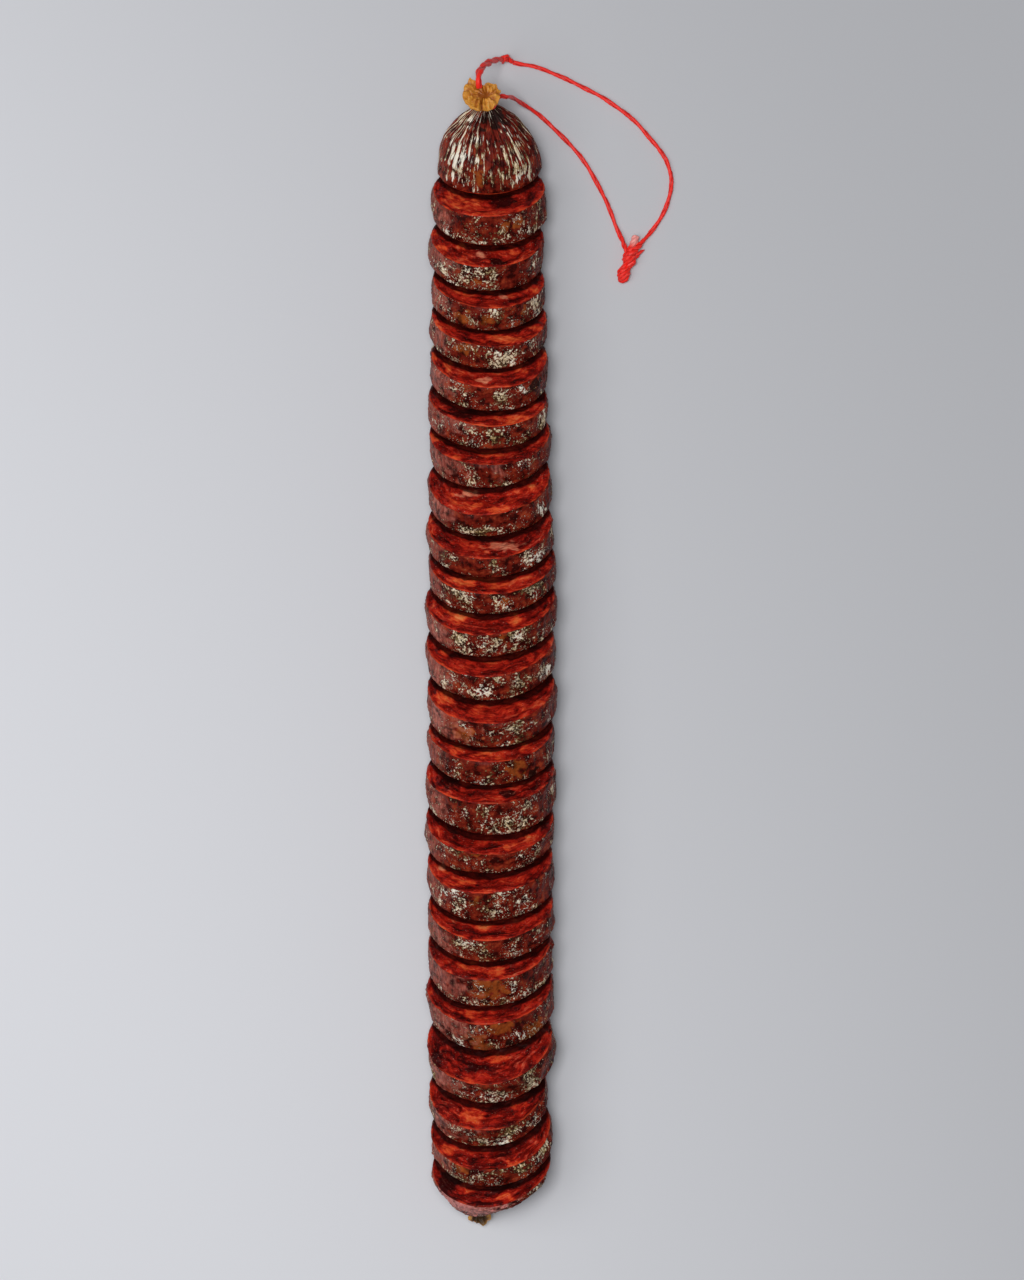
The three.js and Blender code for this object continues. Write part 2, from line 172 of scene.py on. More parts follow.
# The string: its twist is how far along a ply turns once and how deep it dips between its plies
PLIES = 2
STRING_DIAMETER = 0.0018
SHANK_DIAMETER = 0.0025
SHANK_TWIST = (0.019, 0.34)
LONG_TWIST = (0.021, 0.28)
SHORT_TWIST = (0.023, 0.28)
STRING_COLUMNS = 24
KNOT_COLUMNS = 56

# The turn of string that ties the neck
TIE_RADIUS = 0.0036
TIE_TURN = 2.3 * math.pi
TIE_RISE = 0.0003
TIE_BELOW_MOUTH = 0.0017
TIE_POINTS = 40

# The doubled string's way, from the mouth of the gathered casing down to the small knot
SHANK_ROUTE = (
    (-0.0044, 0.2231, 0.0375), (-0.0047, 0.2250, 0.0385), (-0.0048, 0.2271, 0.0383),
    (-0.0044, 0.2297, 0.0359), (-0.0033, 0.2323, 0.0307), (-0.0016, 0.2344, 0.0246),
    (0.0004, 0.2361, 0.0180), (0.0023, 0.2375, 0.0116), (0.0041, 0.2383, 0.0064),
)

# Where the doubled string's plies part or draw together: how far along, how much thicker, and half its length
SHANK_SWELLS = (
    (0.0082, 0.35, 0.0022), (0.0115, -0.25, 0.0010), (0.0150, 0.2, 0.0016), (0.0185, -0.15, 0.0012),
    (0.023, 0.15, 0.002), (0.029, -0.12, 0.0015),
)

# From the small knot to the end knot, lying on the table
LONG_ROUTE = (
    (0.0085, 0.2377, 0.0015), (0.0115, 0.2370, 0.0011), (0.0167, 0.2362, 0.0010), (0.0207, 0.2349, 0.0010),
    (0.0249, 0.2332, 0.0010), (0.0291, 0.2315, 0.0010), (0.0331, 0.2295, 0.0010), (0.0371, 0.2275, 0.0010),
    (0.0411, 0.2255, 0.0010), (0.0455, 0.2231, 0.0010), (0.0495, 0.2203, 0.0010), (0.0535, 0.2175, 0.0010),
    (0.0575, 0.2141, 0.0010), (0.0605, 0.2109, 0.0010), (0.0633, 0.2075, 0.0010), (0.0659, 0.2045, 0.0010),
    (0.0682, 0.2015, 0.0010), (0.0700, 0.1984, 0.0010), (0.0711, 0.1953, 0.0010), (0.0719, 0.1923, 0.0010),
    (0.0720, 0.1893, 0.0010), (0.0717, 0.1865, 0.0010), (0.0711, 0.1837, 0.0010), (0.0701, 0.1805, 0.0010),
    (0.0687, 0.1773, 0.0010), (0.0669, 0.1741, 0.0010), (0.0648, 0.1711, 0.0011), (0.0623, 0.1681, 0.0015),
    (0.0599, 0.1656, 0.0021),
)

# From the tie at the neck to the end knot
SHORT_ROUTE = (
    (0.0027, 0.2204, 0.0306), (0.0044, 0.2210, 0.0294), (0.0061, 0.2209, 0.0270), (0.0075, 0.2215, 0.0224),
    (0.0091, 0.2216, 0.0158), (0.0115, 0.2209, 0.0090), (0.0143, 0.2196, 0.0046), (0.0175, 0.2178, 0.0019),
    (0.0207, 0.2153, 0.0010), (0.0239, 0.2123, 0.0010), (0.0273, 0.2091, 0.0010), (0.0303, 0.2061, 0.0010),
    (0.0331, 0.2031, 0.0010), (0.0353, 0.2005, 0.0010), (0.0372, 0.1979, 0.0010), (0.0393, 0.1947, 0.0010),
    (0.0412, 0.1913, 0.0010), (0.0429, 0.1883, 0.0010), (0.0444, 0.1853, 0.0010), (0.0461, 0.1819, 0.0010),
    (0.0475, 0.1783, 0.0010), (0.0486, 0.1755, 0.0010), (0.0497, 0.1725, 0.0010), (0.0510, 0.1695, 0.0012),
    (0.0524, 0.1664, 0.0018),
)

# The knots' strands in millimetres: points, the radius at each, how many plies show, and how pale the end is,
# which on the stub is its frayed end and elsewhere painted glints of light
KNOTS = {
    "hitch_turn": (((3.8, 238.2, 6.4), (5.0, 238.9, 5.2), (6.4, 238.8, 3.4), (8.6, 237.8, 1.7)),
                   (1.0, 1.4, 1.35, 0.95), 2, 0),
    "hitch_loop": (((4.6, 237.0, 3.4), (5.2, 238.4, 5.7), (6.2, 239.6, 5.2), (7.0, 239.4, 2.4)),
                   (0.5, 0.95, 0.95, 0.5), 2, 0),
    "knot_upper": (((56.2, 163.6, 2.4), (55.4, 160.8, 3.0), (55.0, 158.2, 3.0), (54.3, 155.4, 2.5)),
                   (1.2, 2.5, 2.9, 1.6), 7, 0.25),
    "knot_lower": (((54.2, 156.8, 2.4), (53.1, 153.9, 2.7), (52.5, 151.6, 2.5), (51.6, 149.7, 1.7)),
                   (1.5, 2.6, 2.5, 1.1), 7, 0.25),
    "knot_cross": (((61.1, 166.9, 1.8), (59.6, 165.0, 2.7), (57.8, 162.8, 3.9), (55.4, 160.5, 5.0),
                    (53.6, 159.2, 4.6)), (0.85, 1.0, 1.25, 1.2, 0.6), 2, 0),
    "knot_feed": (((52.1, 167.4, 1.6), (52.8, 165.2, 2.3), (53.7, 162.8, 3.2), (54.6, 160.2, 4.4)),
                  (0.8, 0.95, 1.0, 0.7), 2, 0),
    "knot_stub": (((54.9, 161.6, 3.6), (56.2, 164.0, 3.8), (57.3, 166.2, 3.2), (57.9, 168.3, 2.6)),
                  (1.1, 1.35, 1.5, 1.45), 3, 1),
    "knot_tip": (((55.9, 157.9, 2.0), (58.2, 160.4, 1.9), (59.8, 161.9, 1.4), (61.3, 162.8, 0.9)),
                 (0.8, 0.95, 0.7, 0.2), 2, 0.3),
}

# What each mark does to the casing: mould's growth, its age, amber against black, and the thin pink bloom
# together with a painted sheen of light
SKIN_KINDS = {
    "white": (0.12, -0.4, 0, 0),
    "cream": (0.11, -0.1, 0, 0),
    "khaki": (0.11, 0.3, 0, 0),
    "amber": (-0.05, 0, 1, 0),
    "bloom_and_sheen": (-0.02, 0, 0, 0.6),
    "painted_sheen": (-0.2, 0, 0, 2.2),
    "bare": (-0.25, 0, 0, 0),
    "black": (-0.1, 0, -1.2, 0),
}

# Marks on the casing in millimetres, by slice: round from its top line, down from its upper edge, and half of
# each size. 0 is the tied end, counted up from its cut, and 24 is the other end.
SKIN_MARKS = {
    # On the tied end the black patch near the neck is a painted shadow under the gathered casing.
    0: {"amber": [(-4, 8.5, 2, 6)], "white": [(-13, 17, 6, 9)], "khaki": [(9, 8, 7, 7)],
        "cream": [(-4, 24, 3, 3), (-14, 6, 5, 5), (16, 11, 6, 10)], "black": [(3.5, 27.5, 6, 3.5)],
        "bare": [(4, 21, 4, 4)]},
    1: {"black": [(-25, 6, 1, 1.5)], "white": [(-3, 0.5, 2.5, 1), (7, 2.5, 5, 3)],
        "bare": [(-0.5, 2.5, 4, 1.5)], "amber": [(7.5, 5.5, 2.5, 2.5), (13, 5, 2.5, 2)],
        "cream": [(21, 7, 5.5, 7), (-11, 10, 4, 3), (3, 10, 5, 2.5), (14, 11, 4.5, 2.5)],
        "khaki": [(-1, 8.5, 3, 3)], "bloom_and_sheen": [(-20, 9, 3.5, 6)]},
    2: {"bloom_and_sheen": [(-19, 2.5, 7, 4.5)], "black": [(-10.5, 0.5, 1, 1.5), (-7, 0.5, 1, 1)],
        "cream": [(-4, 5.5, 13.5, 6)], "amber": [(-3, 7.5, 2, 1)], "bare": [(12, 7.5, 6, 4.5)],
        "white": [(23, 4.5, 6, 6)]},
    3: {"white": [(-3.5, 0.5, 6.5, 2.5), (24, 7, 5.5, 6.5)],
        "amber": [(-9.5, 7, 3.5, 2.5), (15.5, 4.5, 1.5, 3.5), (0, 5.5, 2.5, 2.5)],
        "khaki": [(5, 3.5, 2.5, 3.5)], "bloom_and_sheen": [(-21.5, 3.5, 5.5, 4.5)]},
    4: {"cream": [(-6, 1.5, 8.5, 3.5), (7.5, 6, 8, 3)], "amber": [(-9.5, 3.5, 5, 2)],
        "white": [(22, 4, 4.5, 4), (-12.5, 2, 5, 2)], "bloom_and_sheen": [(-22.5, 1, 6, 4.5)]},
    5: {"bloom_and_sheen": [(-21.5, 4, 6.5, 8)], "bare": [(-2.5, 4, 5, 5)], "black": [(21, 2.5, 3, 2.5)],
        "cream": [(-12, 4, 6, 5), (6.5, 3.5, 4.5, 3), (15, 4, 2, 3), (25, 4, 2, 4)]},
    6: {"bloom_and_sheen": [(-14.5, 1, 8, 4)], "white": [(-6.5, 3.5, 10.5, 2)], "khaki": [(6, 5, 4.5, 3.5)],
        "cream": [(26.5, 4.5, 4.5, 6)]},
    7: {"bloom_and_sheen": [(-20.5, 2.5, 10.5, 6), (3, 3, 2, 3.5)], "bare": [(-3, 1.5, 3.5, 4.5)],
        "white": [(-10, 2.5, 3, 2.5), (23.5, 1.5, 2.5, 2.5)]},
    8: {"cream": [(-4, 8, 11, 2)], "white": [(23, 6, 4, 4.5)], "bare": [(-6, 3, 14, 3)],
        "bloom_and_sheen": [(-24, 4.5, 7, 6)]},
    9: {"khaki": [(-23, 5, 3.5, 2), (4.5, 3.5, 5.5, 6)], "bare": [(-8.5, 3, 2.5, 5)],
        "white": [(21, 5, 6, 4)]},
    10: {"cream": [(-16.5, 4.5, 8.5, 7)], "amber": [(4.5, 4.5, 2.5, 2)], "khaki": [(12.5, 0.5, 13, 7.5)]},
    11: {"cream": [(-7, 4, 9, 5.5)], "amber": [(4, 2, 1.5, 2.5)], "khaki": [(15.5, 3, 11.5, 7.5)],
         "bloom_and_sheen": [(-23, 6, 5.5, 7)]},
    12: {"bloom_and_sheen": [(-23.5, 5, 7.5, 8)], "cream": [(-10.5, 5, 4.5, 6.5)], "khaki": [(7.5, 5, 7, 6.5)],
         "white": [(-2, 5.5, 2.5, 3.5), (4.5, 3.5, 3.5, 2), (24.5, 7, 3.5, 4.5)]},
    13: {"amber": [(-12, 7.5, 5.5, 3.5)], "white": [(-12, 2.5, 2, 2), (-2, 4.5, 2, 1.5)],
         "khaki": [(9.5, 7.5, 7, 7)], "bloom_and_sheen": [(-23.5, 4.5, 11.5, 8)]},
    14: {"cream": [(-15, 7, 2.5, 4)], "bare": [(-7, 3.5, 3.5, 3)], "khaki": [(-0.5, 5.5, 4, 3)],
         "amber": [(9.5, 4.5, 4, 4.5)], "black": [(16.5, 10, 2.5, 3)]},
    15: {"khaki": [(-17, 1, 2, 2)], "white": [(-11, 5, 1.5, 4)], "bare": [(-8, 4.5, 1.5, 4)],
         "cream": [(8, 8, 13, 6.5)], "black": [(14.5, 1.5, 1.5, 1)], "bloom_and_sheen": [(-24, 10, 4, 5.5)]},
    16: {"khaki": [(-14.5, 3, 7, 6)], "amber": [(-5, 0.5, 2, 1.5)], "bare": [(4, 3, 6, 5)],
         "cream": [(17, 2.5, 6, 5)]},
    17: {"white": [(-22.5, 8.5, 2.5, 5), (-16.5, 1.5, 1.5, 1), (-5, 4, 2, 2.5), (13.5, 7, 2, 2.5)],
         "amber": [(-6.5, 4, 2, 2)], "cream": [(4.5, 7, 6.5, 3)]},
    18: {"white": [(-13, 2, 3.5, 3.5)], "khaki": [(-1.5, 2, 3.5, 2.5)], "cream": [(21.5, 6, 4, 5)],
         "bloom_and_sheen": [(-23.5, 7, 6, 5.5)]},
    19: {"bloom_and_sheen": [(-19, 6, 8.5, 8)], "amber": [(-0.5, 5, 6.5, 6.5)], "white": [(8.5, 5.5, 1.5, 3.5)],
         "khaki": [(16.5, 9.5, 5.5, 6)]},
    20: {"bloom_and_sheen": [(-17, 3, 9.5, 8)], "white": [(-15, 10.5, 2, 2.5)],
         "amber": [(-8, 8, 4.5, 4), (3, 2, 6, 3.5), (17, 9.5, 6, 4.5)], "black": [(5, 10, 4, 1.5)],
         "khaki": [(2.5, 8.5, 6.5, 3)]},
    21: {"bloom_and_sheen": [(-21, 2, 9.5, 8.5)], "khaki": [(0.5, 7, 5, 6.5), (15, 5, 6.5, 8)]},
    22: {"bloom_and_sheen": [(-21.5, 1, 10.5, 8.5)], "khaki": [(0, 2.5, 15, 8.5)], "white": [(18.5, 9, 3.5, 5)]},
    23: {"bloom_and_sheen": [(-26, 1, 6.5, 8)], "amber": [(-15.5, 1, 5, 3)], "khaki": [(3, 4, 9, 4)],
         "cream": [(28, 1, 2.5, 4.5), (16, 2.5, 9, 3)]},
    # On the other end's lower left a painted sheen of pale pink light.
    24: {"painted_sheen": [(-12, 5, 14, 12)], "cream": [(5, 3, 7, 3), (21, 3, 6, 4)]},
}

# What each mark does to a cut face: how far towards fat or dark meat, and how pale
FACE_KINDS = {
    "fat": (1.0, 0.05),
    "orange": (0.8, 0),
    "red": (0.35, 0),
    "dark": (-0.8, 0),
    "pink": (0.6, 0.55),
}

# Marks on the cut faces in millimetres, by slice: across from the middle, up the face, and half of each size
FACE_MARKS = {
    1: {"orange": [(-15, 10, 5, 5)], "red": [(-4, 14, 6, 5)], "dark": [(5, 11, 4, 5)]},
    2: {"orange": [(-18, 11, 3, 3), (-10, 8, 2, 2), (11, 10, 2.5, 3)], "pink": [(-2, 14, 2, 2)],
        "dark": [(4, 18, 3, 2.5)]},
    3: {"pink": [(6, 14, 2, 2)], "orange": [(18, 7, 2, 3)], "red": [(-7, 11, 8, 5)]},
    4: {"fat": [(6, 17, 7.5, 2.5)], "orange": [(19, 7, 2, 3)], "red": [(-14, 10, 5, 4.5)]},
    5: {"orange": [(-22, 3, 1, 5), (-16, 9, 2, 3)], "pink": [(-2, 18, 3, 2)], "red": [(9, 12, 7, 4)]},
    6: {"dark": [(-9, 15, 6, 3)], "red": [(6, 16, 7, 3)], "orange": [(12, 19, 4, 4)]},
    7: {"orange": [(-22, 6, 1.5, 4), (-13, 19, 2, 2), (1, 16, 5, 2.5)]},
    8: {"pink": [(-9, 10, 4, 2)], "orange": [(-5, 18, 2.5, 1.5), (3, 22, 5, 2), (17, 10, 2.5, 2.5)]},
    9: {"red": [(-4, 16, 4, 4.5)], "pink": [(5, 17, 7, 3)]},
    10: {"fat": [(-9, 15, 6, 3)], "orange": [(2, 17, 5, 4)]},
    11: {"fat": [(-12, 12, 4, 2.5)], "orange": [(9, 17, 2, 3)]},
    12: {"orange": [(-18, 8, 2, 2), (15, 13, 2, 3)]},
    13: {"orange": [(-18, 6, 4, 5)], "red": [(2, 16, 9, 4.5)]},
    14: {"orange": [(-14, 15, 3, 3.5), (-3, 18, 3, 3), (13, 16, 2.5, 3)]},
    15: {"dark": [(-16, 9, 4, 6), (6, 19, 3.5, 2)]},
    16: {"orange": [(15, 12, 1, 2), (7, 20, 1.5, 2)]},
    17: {"pink": [(-19, 6, 1.5, 2.5)], "orange": [(-10, 17, 4, 2)]},
    18: {"orange": [(-3, 16, 2.5, 2.5)]},
    19: {"orange": [(-8, 15, 3, 3), (2, 20, 3.5, 3)]},
    20: {"orange": [(-8, 17, 4, 3)]},
    21: {"fat": [(2, 12, 4, 2.5)], "red": [(-7, 21, 4.5, 3)]},
    22: {"fat": [(-7, 15, 4, 4)], "orange": [(12, 12, 3, 2)]},
    23: {"orange": [(-18, 9, 3, 3.5), (7, 22, 2.5, 2)]},
    24: {"orange": [(-10, 12, 5, 3), (3, 21, 3, 2.5)], "dark": [(-18, 7, 4, 6), (2, 14, 5, 3.5)]},
}

# The folds of the gathered casing, in millimetres from its foot: angle in degrees, reach, height of the rim,
# and how deep the valley is between a fold and the next one to the left
TUFT_FOLDS = (
    (12, 5.3, 1.8, 0.3), (47, 5.0, -0.1, 0.4), (74, 5.1, -0.7, 0.3), (96, 5.4, -0.6, 1.3),
    (113, 7.8, 0.0, 0.4), (132, 8.4, 0.6, 0.3), (150, 8.9, 1.6, 0.3), (172, 9.0, 3.5, 0.4),
    (193, 8.2, 5.0, 0.3), (220, 8.1, 6.0, 1.2), (244, 4.1, 3.6, 0.6), (277, 4.5, 4.5, 0.3),
    (310, 5.3, 4.3, 0.5), (354, 5.7, 3.5, 0.4),
)
TAIL_FOLDS = (
    (0, 4.2, 1.8, 0.4), (45, 3.2, 0.9, 0.4), (90, 2.7, 0.7, 0.3), (130, 3.4, 0.9, 0.3),
    (178, 4.6, 1.6, 0.15), (210, 4.3, 2.6, 0.1), (250, 3.6, 3.1, 0.1), (290, 3.2, 2.6, 0.5),
    (336, 4.0, 2.4, 0.3),
)


def shade(red, green, blue):
    """The linear colour of a shade given in display values from 0 to 255."""
    shares = [value / 255 for value in (red, green, blue)]
    return tuple(s / 12.92 if s <= 0.04045 else ((s + 0.055) / 1.055) ** 2.4 for s in shares)


def colour_property(name, description, default):
    return FloatVectorProperty(name=name, description=description, subtype="COLOR", size=3, min=0, max=1,
                               default=default)


def length_property(name, description, default):
    return FloatProperty(name=name, description=description, subtype="DISTANCE", unit="LENGTH", min=0,
                         default=default)


def power_property(name, description, default):
    return FloatProperty(name=name, description=description, subtype="POWER", unit="POWER", min=0,
                         default=default)


class ChorizoSizes(bpy.types.PropertyGroup):
    columns: IntProperty(name="Columns", description="Columns of faces round a slice", default=288, min=24)
    face_relief: length_property("Face relief", "How far a cut face rises and falls", 0.00022)
    skin_relief: length_property("Skin relief", "How far the casing swells and sinks", 0.0003)
    wrinkle_depth: length_property("Wrinkle depth", "Depth of the fine wrinkles along the casing", 0.00012)
    pleat_depth: length_property("Pleat depth", "Depth of the pleats near the neck", 0.0011)
    ridge_depth: length_property("Ridge depth", "Depth of the ridges that follow a cut's edge", 0.0003)
    mould_height: length_property("Mould height", "How far the mould's powder stands up", 0.0002)


class ChorizoColours(bpy.types.PropertyGroup):
    maroon: colour_property("Maroon", "Darkest lean meat on the cut faces", shade(52, 5, 5))
    lean: colour_property("Lean", "Lean meat", shade(112, 14, 9))
    paprika: colour_property("Paprika", "Meat reddened by paprika", shade(172, 32, 19))
    oil: colour_property("Oil", "Streaks of paprika oil and soft fat", shade(216, 76, 38))
    fat: colour_property("Fat", "Lumps of fat stained orange", shade(236, 138, 74))
    pale_fat: colour_property("Pale fat", "Lumps of fat left pinkish", shade(226, 156, 122))
    skin: colour_property("Skin", "Casing over lean meat", shade(104, 25, 15))
    skin_dark: colour_property("Dark skin", "Casing in its dark parts", shade(50, 8, 5))
    skin_light: colour_property("Light skin", "Casing where it is thin", shade(144, 52, 30))
    amber: colour_property("Amber", "Casing over fat", shade(164, 84, 32))
    # Also paints the sheen of light on the left flank and on the other end's lower left.
    bloom_and_sheen: colour_property("Bloom", "Thin pinkish bloom on the casing", shade(204, 124, 108))
    mould: colour_property("Mould", "Powdery mould", shade(238, 218, 184))
    old_mould: colour_property("Old mould", "Mould gone khaki", shade(166, 140, 92))
    gather: colour_property("Gathered casing", "Dried casing past the ties", shade(216, 146, 52))
    string: colour_property("String", "The string", shade(250, 40, 30))


class ChorizoStudio(bpy.types.PropertyGroup):
    floor: colour_property("Floor", "The floor's grey", shade(222, 223, 228))
    key_watts: power_property("Key", "Power of the softbox overhead", 29)
    fill_watts: power_property("Fill", "Power of the soft light from the left", 3)
    sky: FloatProperty(name="Sky", description="Strength of the even light from all around", min=0,
                       default=0.15)


def ripples(points, size, seed):
    """Smooth random noise of about -1 to 1: cosines in random directions, with wavelengths round size, added
    up and divided by the root of half their count."""
    draw = np.random.default_rng(seed)
    directions = draw.normal(size=(3, RIPPLE_COUNT))
    directions /= np.linalg.norm(directions, axis=0)
    waves = TAU * directions / (size * draw.uniform(0.7, 1.5, RIPPLE_COUNT))
    phases = draw.uniform(0, TAU, RIPPLE_COUNT)
    return np.cos(points @ waves + phases).sum(-1) / math.sqrt(RIPPLE_COUNT / 2)


def smooth(value, low, high):
    """0 below low, 1 above high, and a smooth step between."""
    t = np.clip((value - low) / (high - low), 0, 1)
    return t * t * (3 - 2 * t)


def unit(vector):
    return vector / np.linalg.norm(vector, axis=-1, keepdims=True)


def cut_at(foot, lean, turn):
    """The axes of a cut whose plane meets the table at y = foot: across it, out of it towards the tied end,
    and up its slope. The plane leans back by lean degrees and is turned by turn degrees about Z."""
    lean, turn = math.radians(lean), math.radians(turn)
    ct, st, cl, sl = math.cos(turn), math.sin(turn), math.cos(lean), math.sin(lean)
    return SimpleNamespace(
        foot=np.array((0.0, foot, 0.0)),
        across=np.array((ct, st, 0.0)),
        axis=np.array((-st * cl, ct * cl, sl)),
        up=np.array((st * sl, -ct * sl, cl)),
    )


def on_cut(cut, side, out, height):
    """A point out of the cut and up its slope, moved across it until it lies at x = side."""
    point = cut.foot + out * cut.axis + height * cut.up
    return point + cut.across * (side - point[0]) / cut.across[0]


def ring_points(centre, across, up, reach, angle, flatness=FLATNESS):
    """centre + across * reach * cos(angle) + up * reach * flatness * sin(angle), for whole arrays."""
    wide, high = reach * np.cos(angle), reach * flatness * np.sin(angle)
    return centre + wide[..., None] * across + high[..., None] * up


def unevenness(angle, seed):
    """Slow waves round the outline, which fade at the foot."""
    waves = np.sin(2 * angle + 1.3 * seed) + 0.8 * np.sin(3 * angle + 0.7 * seed + 1)
    waves = waves + 0.6 * np.sin(5 * angle + 2.1 * seed)
    return 1 + UNEVEN * waves * (0.6 + 0.4 * np.sin(angle))


def turns(columns, gather=0.0):
    """Angles round a circle. gather draws them closer together at the top."""
    even = np.arange(columns) * TAU / columns
    return even + gather * np.cos(even)


def laid_out(reach, along, angle):
    """Places in the sausage before it was cut: across, along, and up."""
    return np.stack(np.broadcast_arrays(reach * np.cos(angle), along, reach * np.sin(angle)), -1)


def on_casing(inset):
    """1 on the casing, and a soft fall to 0 over its edge."""
    return smooth(-inset, 0.0, EDGE_BLEND)


def slide_to_table(points, slope):
    """How far points slide along a slope until the lowest is SINK under the table."""
    return slope * (-SINK - points[..., 2].min()) / slope[2]


def rested(points, slide):
    """Points moved by a slide, and pressed flat where they touch the table."""
    points = points + slide
    points[..., 2] = np.maximum(points[..., 2], 0)
    return points


def marks_on(first, second, place, marks, kinds, ragged):
    """What the listed marks do to a surface, added up. Each is an ellipse in the two given ways over the
    surface, with an edge made ragged by ripples: it works fully inside and fades past its edge."""
    ragged = ragged * ripples(place, 0.003, 51)
    total = np.zeros((len(next(iter(kinds.values()))), *first.shape))
    for kind, spots in marks.items():
        effect = np.array(kinds[kind])[:, None, None]
        for spot in spots:
            a, b, half_a, half_b = (MM * value for value in spot)
            off = np.hypot((first - a) / half_a, (second - b) / half_b) + ragged
            total += effect * smooth(1.4 - off, 0, 0.8)
    return total


def under_last(number, cut, points):
    """How far points on a cut lie outside the outline of the piece before, which rests on that cut. Its own
    outline is taken as a plain ellipse."""
    if number == 1:
        side, radius = CAP_SIDE, CAP_WIDTH / 2
    else:
        _, width, side, _, _ = SLICES[number - 2]
        radius = width / 2
    offset = points - on_cut(cut, side + SIDE_OFFSET, CUT_GAP / 2, radius * FLATNESS)
    return np.hypot(offset @ cut.across, offset @ cut.up / FLATNESS) - radius


def surface_fields(number, place, down, thickness, inset, angle, outside):
    """The vertex attributes that the sausage's finish reads. On the casing: how thick mould grows there, how
    old it is, amber against black, and the pink bloom with a painted sheen of light, which lies on the left
    flank. On a cut face: how far the meat is fat or dark there, and how pale the fat. On both: how near the
    corner between two pieces is, where shade is painted in. outside is how far a cut face's points lie outside
    the piece before.
    """
    first, _, second = np.moveaxis(place, -1, 0)
    off_top = np.mod(math.pi / 2 - angle + math.pi, TAU) - math.pi
    around = off_top * np.hypot(first, second)
    on_skin, on_face = SKIN_MARKS.get(number, {}), FACE_MARKS.get(number, {})
    growth, age, tone, bloom_and_sheen = marks_on(around, down + 0 * around, place, on_skin, SKIN_KINDS, ragged=0.35)
    growth = growth - 0.09 + 0.07 * ripples(place, 0.011, 52) + 0.07 * down / thickness
    age = age + 0.35 * ripples(place, 0.009, 53) + 0.2
    # On the left flank a painted sheen of light from the left, added to the bloom marks.
    bloom_and_sheen = 0.8 * bloom_and_sheen + 0.5 * smooth(-around, 0.016, 0.030)
    fat, pale = marks_on(first, second, place, on_face, FACE_KINDS, ragged=0.2)
    fat = fat - 0.2 * (number >= LEANER_FROM)
    skin = smooth(-inset, -0.0002, 0.0002) + 0 * growth
    to_lower_edge = down if number == 0 else thickness - down if number < TAIL_NUMBER else 1
    # Painted shade: dark along the casing's lower edge and on a cut face just outside the piece resting on it,
    # where two pieces meet.
    shade_at_edge = np.exp(-to_lower_edge / 0.0005)
    shade_under_piece = np.exp(-np.maximum(outside, 0) / 0.0008)
    return {
        "place": place,
        "inset": np.broadcast_to(inset, growth.shape),
        "mould": np.stack([skin * growth + (1 - skin) * pale, age, bloom_and_sheen], -1),
        "tone": skin * tone + (1 - skin) * fat,
        "corner": skin * shade_at_edge + (1 - skin) * shade_under_piece,
    }


def closed_mesh(name, rings, attributes, material, slot, *nodes):
    """A closed surface from rings of points: neighbouring rings are joined by a band of quads, and the first
    and the last ring by a fan to their middle. Its faces are turned outwards by the sign of its volume. Every
    attribute is an array over the rings' points."""
    count, columns = rings.shape[:2]

    def with_poles(values):
        flat = values.reshape(-1, *values.shape[2:])
        return np.concatenate([values[:1].mean(1), flat, values[-1:].mean(1)])

    points = with_poles(rings)
    index = 1 + np.arange(count * columns).reshape(count, columns)
    after = np.roll(index, -1, axis=1)
    quads = np.stack([index[:-1], after[:-1], after[1:], index[1:]], -1).reshape(-1, 4)
    first = np.stack([after[0], index[0], np.zeros_like(index[0])], -1)
    last = np.stack([index[-1], after[-1], np.full_like(index[0], len(points) - 1)], -1)
    fans = np.concatenate([first, last])
    corners = points[fans]
    sheets = points[quads]
    volume = np.einsum("ij,ij->", corners[:, 0], np.cross(corners[:, 1], corners[:, 2]))
    for a, b, c in ((0, 1, 2), (0, 2, 3)):
        volume += np.einsum("ij,ij->", sheets[:, a], np.cross(sheets[:, b], sheets[:, c]))
    if volume < 0:
        quads, fans = quads[:, ::-1], fans[:, ::-1]
    mesh = bpy.data.meshes.new(name)
    mesh.from_pydata(points.tolist(), [], quads.tolist() + fans.tolist())
    mesh.polygons.foreach_set("use_smooth", np.ones(len(mesh.polygons), bool))
    for key, values in attributes.items():
        whole = with_poles(values).astype(np.float32)
        kind, field = ("FLOAT_VECTOR", "vector") if whole.ndim == 2 else ("FLOAT", "value")
        mesh.attributes.new(key, kind, "POINT").data.foreach_set(field, whole.ravel())
    mesh.materials.append(material)
    mesh.update()
    piece = bpy.data.objects.new(name, mesh)
    bpy.context.scene.collection.objects.link(piece)
    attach(piece, BODY)
    if nodes:
        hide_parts(*nodes)
    return piece


class Wire:
    """A node's output. Arithmetic on it adds Math nodes."""

    def __init__(self, paint, socket):
        self.paint = paint
        self.socket = socket

    def __add__(self, other):
        return self.paint.maths("ADD", self, other)

    def __radd__(self, other):
        return self.paint.maths("ADD", other, self)

    def __sub__(self, other):
        return self.paint.maths("SUBTRACT", self, other)

    def __rsub__(self, other):
        return self.paint.maths("SUBTRACT", other, self)

    def __mul__(self, other):
        return self.paint.maths("MULTIPLY", self, other)

    def __rmul__(self, other):
        return self.paint.maths("MULTIPLY", other, self)

    def ramp(self, low, high):
        """0 below low, 1 above high, and a smooth step between."""
        return self.paint.node("ShaderNodeMapRange", {"interpolation_type": "SMOOTHSTEP"},
                               {"Value": self, "From Min": low, "From Max": high})


